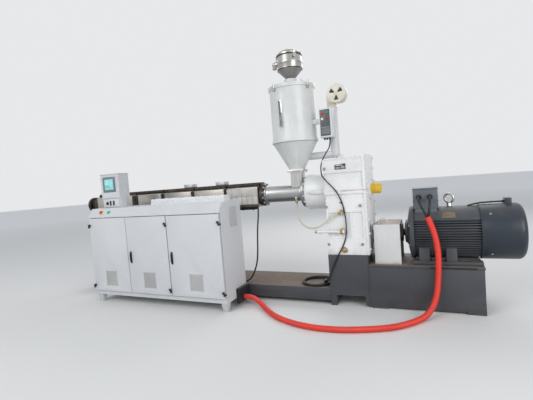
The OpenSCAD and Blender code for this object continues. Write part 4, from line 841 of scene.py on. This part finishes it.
shell = softened(0.003, "hopper_body")
block(shell, (hopper_x - 0.28, axis_y - 0.006, 1.99), (hopper_x - 0.2835, axis_y + 0.006, 2.63))
block(shell, (hopper_x - 0.02, axis_y + 0.279, 1.99), (hopper_x + 0.02, axis_y + 0.284, 2.63))
fit("hopper_shell", shell, hopper_paint, "hopper_body")
lid = softened(0.002, "hopper_lid")
lid_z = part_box("hopper_lid")[0][2]
rim = [(0.013, 0.27), (0.017, 0.292), (0.013, 0.297), (-0.004, 0.297), (-0.004, 0.29)]
turned(lid, (hopper_x, axis_y, lid_z), upward, rim)
handle_x, handle_low, handle_top = hopper_x + 0.16, 2.69, 2.735
handle = [(handle_x, axis_y - 0.1, handle_low), (handle_x, axis_y - 0.1, handle_top)]
handle = handle + [(handle_x, axis_y - 0.01, handle_top), (handle_x, axis_y - 0.01, handle_low)]
pipe(lid, handle, 0.006, 10)
fit("hopper_lid_cover", lid, hopper_paint, "hopper_lid")

throat = softened(0.003, "feed_throat")
bolts(throat, (0, 0, -1), 0.02, around((hopper_x, axis_y, 1.61), "z", 0.125, 4))
coat = steel("throat_steel", (0.80, 0.79, 0.77), 0.45, "x", 0.1, slot="hopper_paint")
coat.tone(60.0, 0.75, 1.1, stretch=(1, 1, 0.03))
coat.layer(coat.patches(20.0, 0.55, 0.72, stretch=(1, 1, 0.4)) * 0.3, (0.42, 0.36, 0.32), 0.6, 0.4)
fit("throat_block", throat, coat.done(), "feed_throat")

catches = bmesh.new()
for z, reach, count, start, size in ((2.655, 0.295, 4, -28, 0.06), (3.06, 0.17, 3, -50, 0.05)):
    middle = Vector((hopper_x, axis_y, z))
    for spot in around(middle, "z", reach, count, start):
        latch(catches, spot, (spot - middle).normalized(), size)
fit("toggle_catches", catches, zinc)

glass_place = Matrix.Translation((hopper_x, axis_y, 0)) @ Matrix.Rotation(math.radians(-12), 4, "Z")
pane = blocks(((-0.026, -0.3005, 2.16), (0.026, -0.2875, 2.478), 0.002))
pane.transform(glass_place)
chrome = Finish("chromed_frame", (0.66, 0.67, 0.68), 0.16, 1.0, slot="bare_steel")
fit("window_frame", pane, chrome.tone(12.0, 0.7, 1.05, stretch=(1, 1, 0.4)).done(), "sight_glass")
glass = blocks(((-0.017, -0.3015, 2.172), (0.017, -0.298, 2.466), 0.001))
glass.transform(glass_place)
coat = Finish("window_pellets", (0.10, 0.11, 0.12), 0.08, slot="clear_glass", Coat_Weight=1.0)
grains = coat.add("ShaderNodeTexVoronoi", {"feature": "F1"}, {"Vector": coat.place, "Scale": 260.0})
coat.layer(coat.between(grains, 0.5, 0.2) * (1 - coat.between("z", 2.3, 2.305)), (0.62, 0.62, 0.6))
fit("window_glass", glass, coat.done())

stainless = steel("stainless", (0.48, 0.47, 0.45), 0.27, "z", 0.35, slot="cover_steel").done()
loader = softened(0.0015, "vacuum_loader")
for z in (2.892, 3.052):
    bead = [(0, 0.15), (0.002, 0.1595), (0.01, 0.1595), (0.012, 0.15)]
    turned(loader, (hopper_x, axis_y, z), upward, bead)
fit("loader_can", loader, stainless, "vacuum_loader")
dome = softened(0.0015, "loader_lid")
rod(dome, (hopper_x + 0.03, axis_y, 3.14), (hopper_x + 0.03, axis_y, 3.146), 0.03, 24)
fit("loader_dome", dome, stainless, "loader_lid")
bands = bmesh.new()
for z, reach in ((3.056, 0.164), (2.887, 0.16)):
    band(bands, (hopper_x, axis_y, z), upward, 0.15, reach, 0.011)
fit("loader_bands", bands, dark_steel)


# The hot air unit stands beside the hopper: an ivory blower on a white
# heater tube with a duct into the cone, and a control box on a bracket.
ivory_paint = painted("ivory_paint", (0.66, 0.63, 0.53), 0.35, dust=0.15, chips=0.3).done()
dressed(ivory_paint, ("blower_case", 0.003, "hot_air_blower"))
blower_x, blower_y, blower_z = 1.24, 0.3455, 2.502
# Painted shade: three thin black sheets, narrow at the hub and wide outward, sit in the blower's face and
# stand for its shaded openings.
opening_shade = blocks(((0.024, -0.0006, -0.026), (0.084, 0.0006, 0.026)))
for vert in opening_shade.verts:
    if vert.co.x < 0.05:
        vert.co.z *= 0.24
mouth = Matrix.Translation((blower_x, blower_y - 0.096, blower_z))
opening_shades = bmesh.new()
stamped(opening_shades, opening_shade, *(mouth @ Matrix.Rotation(math.radians(-turn), 4, "Y") for turn in (30, 150, 270)))
fit("blower_ports", opening_shades, black_plastic)
hub = bmesh.new()
profile = [(0, 0.02), (0.004, 0.018), (0.005, 0.009), (0.009, 0.008), (0.009, 0)]
turned(hub, (blower_x, blower_y - 0.105, blower_z), frontward, profile, 32)
studs(hub, (0, -0.004, 0), 0.005, 12, around((blower_x, blower_y - 0.104, blower_z), "y", 0.1, 3, 90))
fit("blower_hub", hub, ivory_paint)

coat = painted(
    "cabinet_paint", (0.60, 0.61, 0.625), 0.34, cloud=0.98, dust=0.05, soil=0.2, chips=0.12,
    chip_colour=(0.35, 0.35, 0.35),
)
coat.relief(coat.noise(3.0, 1.0) * 0.0008)
cabinet_paint = coat.done()
column = softened(0.002, "heater_tube")
for z in (1.9, 2.3):
    band(column, (1.163, blower_y, z), upward, 0.053, 0.058, 0.012, 48)
band(column, (1.02, blower_y, 1.786), to_motor, 0.043, 0.049, 0.014, 48)
fit("heater_column", column, cabinet_paint, "heater_tube")

case = softened(0.004, "dryer_control_box")
case_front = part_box("dryer_control_box")[0][1]
block(case, (1.045, case_front - 0.006, 1.982), (1.198, case_front + 0.001, 2.325), 0.002)
studs(case, (0, 0, 0.03), 0.005, 12, product((1.203,), (0.1335,), (2.03, 2.27)))
fit("control_case", case, cabinet_paint, "dryer_control_box")
face_y = case_front - 0.008
face = blocks(((1.055, face_y, 2.0), (1.175, face_y + 0.003, 2.31), 0.001))
coat = coated("slate_face", (0.085, 0.09, 0.095), 0.4, dust=0.1, slot="grey_paint")
lines = coat.inside("x", 1.063, 1.167, 0.001) * coat.inside("z", 2.095, 2.105, 0.0008)
rows = coat.inside("x", 1.066, 1.164, 0.001) * coat.inside("z", 2.02, 2.085, 0.0008)
lines = lines + rows * coat.between(coat.z.wave(0.016), 0.3, 0.4)
coat.layer(lines * 0.6, (0.34, 0.35, 0.36), 0.4)
fit("control_face", face, coat.done())
lamp = [(0, 0.015), (0.004, 0.015), (0.005, 0.012), (0.013, 0.011), (0.016, 0.007), (0.016, 0)]
for name, colour, x, z in (
    ("red_rocker", (0.55, 0.03, 0.03), 1.083, 2.265), ("green_lamp", (0.02, 0.32, 0.12), 1.145, 2.27),
    ("white_rocker", (0.74, 0.74, 0.72), 1.083, 2.2), ("red_lamp", (0.38, 0.03, 0.05), 1.145, 2.205),
):
    knob = bmesh.new()
    if name.endswith("lamp"):
        turned(knob, (x, face_y, z), frontward, lamp, 32)
    else:
        block(knob, (x - 0.014, face_y - 0.0085, z - 0.014), (x + 0.014, face_y + 0.0001, z + 0.014), 0.002)
        block(knob, (x - 0.01, face_y - 0.0115, z - 0.001), (x + 0.01, face_y - 0.008, z + 0.011), 0.0015)
    fit(name, knob, coated(name + "_plastic", colour, 0.3, dust=0.05, slot="yellow_paint").done())
glands = bmesh.new()
studs(glands, (0, 0, -0.015), 0.013, 6, product((1.08, 1.11, 1.14), (0.205,), (1.981,)))
studs(glands, (0, 0, -0.012), 0.01, 16, product((1.08, 1.11, 1.14), (0.205,), (1.968,)))
fit("control_glands", glands, black_plastic)


# The drive motor is a finned grey iron housing on feet, with a steel fan
# cowl, a cable box on top, a zinc eyebolt and a bare bronze plate.
motor_z = middle_of("motor_shield").z
coat = painted("motor_paint", (0.046, 0.053, 0.062), 0.45, cast=0.4, dust=0.25, soil=0.2, chips=0.35)
eye = coat.between("z", 1.0915, 1.0925) * coat.inside("x", 2.3, 2.46, 0.002)
coat.layer(eye, (0.56, 0.56, 0.53), 0.35, 1.0)
motor_paint = coat.done()
housing = softened(0.0012, "motor_frame")
bolts(housing, upward, 0.026, product((2.12, 2.38), (axis_y - 0.24, axis_y + 0.24), (0.559,)))
fit("motor_housing", housing, motor_paint, "motor_frame")

shield = softened(0.003, "motor_shield")
lugs = zip(around((1.992, axis_y, motor_z), "x", 0.272, 8), around((2.029, axis_y, motor_z), "x", 0.285, 8))
for start, stop in lugs:
    rod(shield, start, stop, 0.02, 16)
bolts(shield, to_die, 0.016, around((1.952, axis_y, motor_z), "x", 0.15, 4, 22.5))
profile = [(0, 0.09), (0.006, 0.088), (0.006, 0.05), (0, 0.05)]
turned(shield, (1.93, axis_y, motor_z), to_die, profile, 48)
fit("drive_end_shield", shield, motor_paint, "motor_shield")

screws = bmesh.new()
bolts(screws, to_die, 0.02, around((1.993, axis_y, motor_z), "x", 0.272, 8))
middle = Vector((2.748, axis_y, motor_z))
for spot in around(middle, "x", 0.2895, 4):
    out = (spot - middle).normalized()
    rod(screws, spot, spot + 0.002 * out, 0.011, 16)
    rod(screws, spot + 0.0015 * out, spot + 0.006 * out, 0.0075, 12, tip=0.005)
studs(screws, (0, 0, 0.0055), 0.006, 12, product((2.032, 2.279), (0.08, 0.401), (1.309,)))
fit("motor_screws", screws, zinc)

plate = blocks(((-0.062, -0.04, 0.0), (0.062, 0.04, 0.002), 0.0006))
studs(plate, (0, 0, 0.0022), 0.003, 10, product((-0.054, 0.054), (-0.033, 0.033), (0.0018,)))
plate_place = Matrix.Translation((2.372, axis_y - 0.193, motor_z + 0.204))
plate.transform(plate_place @ Matrix.Rotation(math.radians(43.4), 4, "X"))
bronze = Finish("bronze_plate", (0.24, 0.19, 0.13), 0.42, 0.7, slot="bare_aluminium")
fit("motor_plate", plate, bronze.tone(60.0, 0.7, 1.2).done())

(lid_left, _, _), (lid_right, lid_back, lid_top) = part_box("motor_terminal_box")
lid_front = 0.1215
cable_box = bmesh.new()
for inset, low, high, soft in (
    (0.006, 0.224, 0.012, 0.006), (0.0, 0.014, 0.0, 0.003), (0.002, 0.15, 0.142, 0.002),
):
    foot = (lid_left + inset, lid_front + inset, lid_top - low)
    block(cable_box, foot, (lid_right - inset, lid_back - inset, lid_top - high), soft)
block(cable_box, (2.046, 0.134, 1.02), (2.264, 0.401, 1.09), 0.004)
box_paint = painted("box_paint", (0.105, 0.122, 0.14), 0.42, cast=0.3, chips=0.3, slot="motor_paint")
fit("motor_cable_box", cable_box, box_paint.done())
cable_glands = bmesh.new()
for x, _, z in (route[-1] for route in lead_routes):
    turned(cable_glands, (x, 0.1285, z), frontward, [
        (0, 0), (0, 0.03), (0.006, 0.03), (0.007, 0.0245), (0.03, 0.0245), (0.034, 0.022), (0.06, 0.021),
        (0.0605, 0.009), (0.04, 0.0085), (0.04, 0),
    ], 40)
fit("motor_cable_glands", cable_glands, black_plastic, "motor_terminal_box")

cowl = softened(0.003, "fan_cover")
cowl_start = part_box("fan_cover")[0][0]
lip = [(0, 0.286), (0, 0.2915), (0.012, 0.2915), (0.013, 0.286)]
turned(cowl, (cowl_start + 0.003, axis_y, motor_z), to_motor, lip, 96)
coat = painted(
    "cowl_paint", (0.016, 0.024, 0.037), 0.38, cast=0.5, dust=0.18, chips=0.25, chip_colour=(0.2, 0.2, 0.2)
)
fit("fan_cowl", cowl, coat.done(), "fan_cover")
sheath = bmesh.new()
lead = [(2.56, 0.256, 1.09), (2.61, 0.26, 1.104), (2.68, 0.266, 1.116), (2.8, 0.28, 1.12)]
pipe(sheath, [*lead, (2.898, axis_y, 1.12)], 0.009, 12)
rod(sheath, (2.877, 0.287, 1.12), (2.8975, 0.287, 1.12), 0.014, 6)
fit("fan_cable_sheath", sheath, black_plastic)


# A pin coupling joins the motor to the gearbox under a bent sheet guard
# with folded feet and a lifting handle on top.
dressed(dark_steel, ("shaft_coupling", 0.002, "coupling"))
guard = softened(0.0012, "coupling_guard")
bmesh.ops.delete(guard, geom=[vert for vert in guard.verts if vert.co.z > 0.935], context="VERTS")
bmesh.ops.holes_fill(guard, edges=[edge for edge in guard.edges if edge.is_boundary])
guard_x = 1.704
half = [(-0.049, 0.929), (-0.049, 0.962), (-0.04, 0.979), (-0.022, 0.989)]
arch = [*half, (0, 0.992), *((-x, z) for x, z in reversed(half))]
pipe(guard, [(guard_x + x, 0.118, z) for x, z in arch], 0.0065, 12)
bolts(guard, upward, 0.016, product((1.65, 1.84), (0.0425, 0.5325), (0.493,)))
coat = painted(
    "guard_paint", (0.60, 0.60, 0.595), 0.4, chips=0.6, chip_colour=(0.22, 0.2, 0.18), slot="white_cast"
)
dusty = coat.between("up", 0.5, 0.95) * (coat.patches(12.0, 0.3, 0.6) * 0.4 + 0.5)
coat.layer(dusty, (0.36, 0.29, 0.23), 0.7)
splashed = (1 - coat.between("z", 0.49, 0.53)) * coat.patches(14.0, 0.3, 0.6)
coat.layer(splashed * 0.5, (0.34, 0.30, 0.25), 0.6)
fit("guard_sheet", guard, coat.done(), "coupling_guard")


# The cabinet is folded white sheet on a plinth with four legs. Its three
# doors hang on black hinges and carry a filter grille and a swing handle.
carcass = softened(0, "cabinet_sides")
block(carcass, (-1.4835, -0.5765, 0.168), (-1.4755, -0.554, 1.189), 0.001)
stamped(carcass, softened(0.0006, "cabinet_back", "cabinet_posts"), Matrix())
for i, j in product(range(9), range(4)):
    x, z = -1.9 + 0.055 * i, 0.4 + 0.03 * j
    block(carcass, (x, -0.0635, z), (x + 0.04, -0.0615, z + 0.008))
studs(carcass, (0, 0.0035, 0), 0.007, 12, product((-2.12, -1.4, -0.78, -0.06), (-0.063,), (0.25, 0.75, 1.25)))
fit("cabinet_carcass", carcass, cabinet_paint, "cabinet_sides", "cabinet_back", "cabinet_posts")
dressed(cabinet_paint, ("cabinet_roof", 0, "cabinet_top"), ("cabinet_base", 0.002, "cabinet_plinth"))
dressed(black_plastic, ("hinge_pins", 0.0012, "door_hinges"))
filter_grey = coated("filter_grey", (0.50, 0.50, 0.50), 0.55, dust=0.5, slot="grey_paint").done()
louvre = softened(0.0008, "side_louvre")
for i in range(11):
    z = 1.011 + i * 0.02009
    block(louvre, (-0.0205, -0.334, z - 0.001), (-0.0165, -0.191, z + 0.002), 0.0005)
fit("end_louvre", louvre, filter_grey, "side_louvre")

grille_front, grille_back, handle_y = -0.5865, -0.582, -0.5965
grille_half, grille_low, grille_high = 0.098, 0.253, 0.457
for side in ("left", "middle", "right"):
    body = "door_" + side
    (left, leaf_front, _), (right, _, _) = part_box(body)
    pin, strap_way = (left, 0.028) if side == "left" else (right, -0.028)
    fit("leaf_" + side, softened(0.0006, body), cabinet_paint, body, body=body)
    middle = (left + right) / 2
    grille = bmesh.new()
    for z in (grille_low, grille_high - 0.009):
        low = (middle - grille_half, grille_front, z)
        block(grille, low, (middle + grille_half, grille_back, z + 0.009), 0.0015)
    for x in (middle - grille_half, middle + grille_half - 0.01):
        block(grille, (x, grille_front, grille_low), (x + 0.01, grille_back, grille_high), 0.0015)
    block(grille, (middle - 0.092, leaf_front, 0.258), (middle + 0.092, -0.5735, 0.452))
    for i in range(20):
        z = 0.266 + 0.0093 * i
        block(grille, (middle - 0.089, -0.5862, z), (middle + 0.089, -0.5815, z + 0.0052), 0.0012)
    fit("filter_" + side, grille, filter_grey, body=body)
    metalwork = bmesh.new()
    strap_left, strap_right = sorted((pin, pin + strap_way))
    for z in (0.235, 1.073):
        rod(metalwork, (pin, handle_y, z), (pin, handle_y, z + 0.028), 0.009, 20, soft=0.001)
        block(metalwork, (strap_left, handle_y, z + 0.001), (strap_right, leaf_front, z + 0.027), 0.003)
    if side != "left":
        x = left + 0.047
        for half, near, far, low, high, soft in (
            (0.013, -0.5905, -0.582, 0.575, 0.73, 0.003), (0.009, handle_y, -0.589, 0.585, 0.72, 0.003),
            (0.007, -0.607, -0.5975, 0.6, 0.7, 0.004),
        ):
            block(metalwork, (x - half, near, low), (x + half, far, high), soft)
        rod(metalwork, (x, -0.59, 0.706), (x, -0.5985, 0.706), 0.0095, 20, soft=0.001)
        rod(metalwork, (x, -0.5895, 0.592), (x, -0.5935, 0.592), 0.006, 20)
    fit("fittings_of_" + side, metalwork, black_plastic, "fittings_" + side, body=body)

slope_spot = Vector((0.0, -0.5425, 1.2555))
slope_way = Vector((0.0, -0.8064, 0.5914)).normalized()
for name, finish_name, colour, roughness, x, outline, nodes in (
    (
        "stop_disc", "stop_yellow", (0.80, 0.46, 0.02), 0.35, -1.938,
        [(-0.004, 0), (-0.004, 0.0305), (0.006, 0.0305), (0.008, 0.0285), (0.008, 0)], [],
    ),
    (
        "stop_mushroom", "stop_red", (0.56, 0.02, 0.02), 0.3, -1.938,
        [
            (0.007, 0), (0.007, 0.012), (0.013, 0.012), (0.015, 0.021), (0.021, 0.02), (0.0225, 0.015),
            (0.0225, 0),
        ],
        [],
    ),
    (
        "start_lamp", "lamp_turquoise", (0.03, 0.44, 0.42), 0.25, -1.798,
        [
            (-0.004, 0), (-0.004, 0.0245), (0.003, 0.0245), (0.005, 0.021), (0.014, 0.02), (0.018, 0.016),
            (0.018, 0),
        ],
        ["console_buttons"],
    ),
):
    knob = bmesh.new()
    turned(knob, slope_spot + Vector((x, 0, 0)), slope_way, outline, 40)
    coat = coated(finish_name, colour, roughness, dust=0.1, slot="yellow_paint")
    fit(name, knob, coat.done(), *nodes)


# The operator panel is a folded case on a neck, with a grey bezel round a
# small touch screen and sockets below; a bent cover lies behind it.
case = softened(0.003, "operator_panel")
block(case, (-2.002, -0.4335, 1.325), (-1.704, -0.419, 1.43), 0.002)
studs(case, (0, 0, 0.04), 0.006, 16, product((-2.024,), (-0.4265,), (1.5, 1.7)))
fit("panel_case", case, cabinet_paint, "operator_panel")
bezel = blocks(
    ((-1.985, -0.4285, 1.53), (-1.755, -0.4235, 1.742), 0.003),
    ((-1.975, -0.4305, 1.54), (-1.765, -0.428, 1.732), 0.001),
)
bezel_grey = coated("bezel_grey", (0.16, 0.185, 0.215), 0.4, dust=0.15, slot="grey_paint")
fit("panel_bezel", bezel, bezel_grey.done())
screen = blocks(((-1.952, -0.432, 1.562), (-1.788, -0.4295, 1.712), 0.0005))
glow = Finish("screen_glow", (0.10, 0.42, 0.42), 0.15, slot="black_plastic", Coat_Weight=0.6)
fields = glow.window(0.001, (-1.94, -1.87), (1.63, 1.7))
fields = fields + glow.window(0.001, (-1.862, -1.8), (1.6, 1.7)) * glow.between(glow.z.wave(0.02), 0.35, 0.45)
keys = glow.window(0.001, (-1.94, -1.8), (1.572, 1.588)) * glow.between(glow.x.wave(0.028), 0.2, 0.3)
glow.layer((fields + keys) * 0.7, (0.42, 0.62, 0.60))
glow.layer(glow.patches(9.0, 0.45, 0.6) * 0.35, (0.30, 0.62, 0.62))
glow.join(glow.shader.inputs["Emission Color"], glow.colour)
glow.shader.inputs["Emission Strength"].default_value = 0.35
fit("panel_screen", screen, glow.done())
sockets = bmesh.new()
profile = [(0, 0), (0, 0.024), (0.005, 0.024), (0.006, 0.019), (0.003, 0.018), (0.003, 0)]
turned(sockets, (-1.925, -0.433, 1.375), frontward, profile, 32)
for x in (-1.865, -1.805):
    block(sockets, (x - 0.015, -0.4375, 1.345), (x + 0.015, -0.4325, 1.41), 0.002)
    block(sockets, (x - 0.009, -0.4405, 1.36), (x + 0.009, -0.437, 1.395), 0.002)
fit("panel_sockets", sockets, black_plastic)

sheet = bmesh.new()
half = [(-0.07, 1.309), (-0.07, 1.374), (-0.052, 1.392)]
bend = [*half, *((-y, z) for y, z in reversed(half))]
(sheet_left, _, _), (sheet_right, _, _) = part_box("cable_cover")
sheet_y, sheet_steps = -0.3025, 72
first = sheet.faces.new([sheet.verts.new((sheet_left, sheet_y + y, z)) for y, z in bend])
rim = list(first.edges)
for i in range(sheet_steps):
    _, _, rim = pushed(sheet, rim, ((sheet_right - sheet_left) / sheet_steps, 0, 0))
bmesh.ops.contextual_create(sheet, geom=rim)
across = [edge for edge in sheet.edges if abs(edge.verts[0].co.x - edge.verts[1].co.x) < 1e-6]
bmesh.ops.subdivide_edges(sheet, edges=across, cuts=5, use_grid_fill=True)
bmesh.ops.recalc_face_normals(sheet, faces=sheet.faces)
for vert in sheet.verts:
    if vert.co.z > 1.32:
        dent = noise.noise(vert.co * 24.0) * 0.006 + noise.noise(vert.co * 52.0) * 0.003
        vert.co.z += dent - 0.003
        vert.co.y += dent * 0.6
crumpled = painted(
    "crumpled_cover", (0.78, 0.79, 0.80), 0.16, dust=0.0, chips=0.0, slot="cabinet_paint", Coat_Weight=0.6
)
crumpled.relief(crumpled.noise(38.0, 3.0) * 0.012)
fit("cable_hood", sheet, crumpled.done(), "cable_cover", corner=35.0)


# The machine stands on a pale floor, painted paler far out, in soft studio light: a broad lamp
# over the camera's left shoulder, a weaker one at the right and one behind.
floor_form = bmesh.new()
bmesh.ops.create_circle(floor_form, cap_ends=True, segments=64, radius=60.0)
floor_mesh = bpy.data.meshes.new("floor")
floor_form.to_mesh(floor_mesh)
floor_form.free()
floor = bpy.data.objects.new("floor", floor_mesh)
scene.collection.objects.link(floor)
floor_paint = Finish("floor_paint", (0.74, 0.74, 0.73), 0.7)
# Painted light: the floor is painted paler far from the machine, standing in for lamp light that does not
# reach so far.
distance_squared = floor_paint.x * floor_paint.x + floor_paint.y * floor_paint.y
floor_paint.layer(floor_paint.between(distance_squared, 40.0, 480.0), (0.97, 0.97, 0.97))
floor_mesh.materials.append(floor_paint.done().material)

for lamp_name, spot, size, power, target in (
    ("key_lamp", (-3.0, -7.5, 6.5), 5.0, 320.0, (0.0, 0.0, 1.0)),
    ("fill_lamp", (7.0, -4.5, 3.5), 4.0, 230.0, (1.0, 0.0, 1.0)),
    ("back_lamp", (1.0, 7.0, 6.0), 5.0, 190.0, (0.0, 0.0, 1.0)),
):
    lamp = bpy.data.objects.new(lamp_name, bpy.data.lights.new(lamp_name, "AREA"))
    scene.collection.objects.link(lamp)
    lamp.data.size = size
    lamp.data.energy = power
    lamp.location = spot
    lamp.rotation_euler = (Vector(target) - Vector(spot)).to_track_quat("-Z", "Y").to_euler()

scene.view_settings.view_transform = "Standard"
world = bpy.data.worlds.new("studio")
scene.world = world
world.use_nodes = True
sky = world.node_tree
sky.nodes.clear()


def sky_node(kind, *values):
    """Adds a node to the sky, and sets or joins its first sockets."""
    node = sky.nodes.new(kind)
    for socket, value in zip(node.inputs, values):
        if isinstance(value, bpy.types.NodeSocket):
            sky.links.new(value, socket)
        else:
            socket.default_value = value
    return node


rays = sky_node("ShaderNodeLightPath").outputs
seen = sky_node("ShaderNodeMath", rays["Is Camera Ray"], rays["Is Glossy Ray"])
seen.operation = "MAXIMUM"
light = sky_node("ShaderNodeBackground", (0.9, 0.94, 1.0, 1.0), 0.55)
backdrop = sky_node("ShaderNodeBackground", (0.80, 0.81, 0.82, 1.0), 1.0)
mixed = sky_node("ShaderNodeMixShader", seen.outputs[0], light.outputs[0], backdrop.outputs[0])
sky_node("ShaderNodeOutputWorld", mixed.outputs[0])
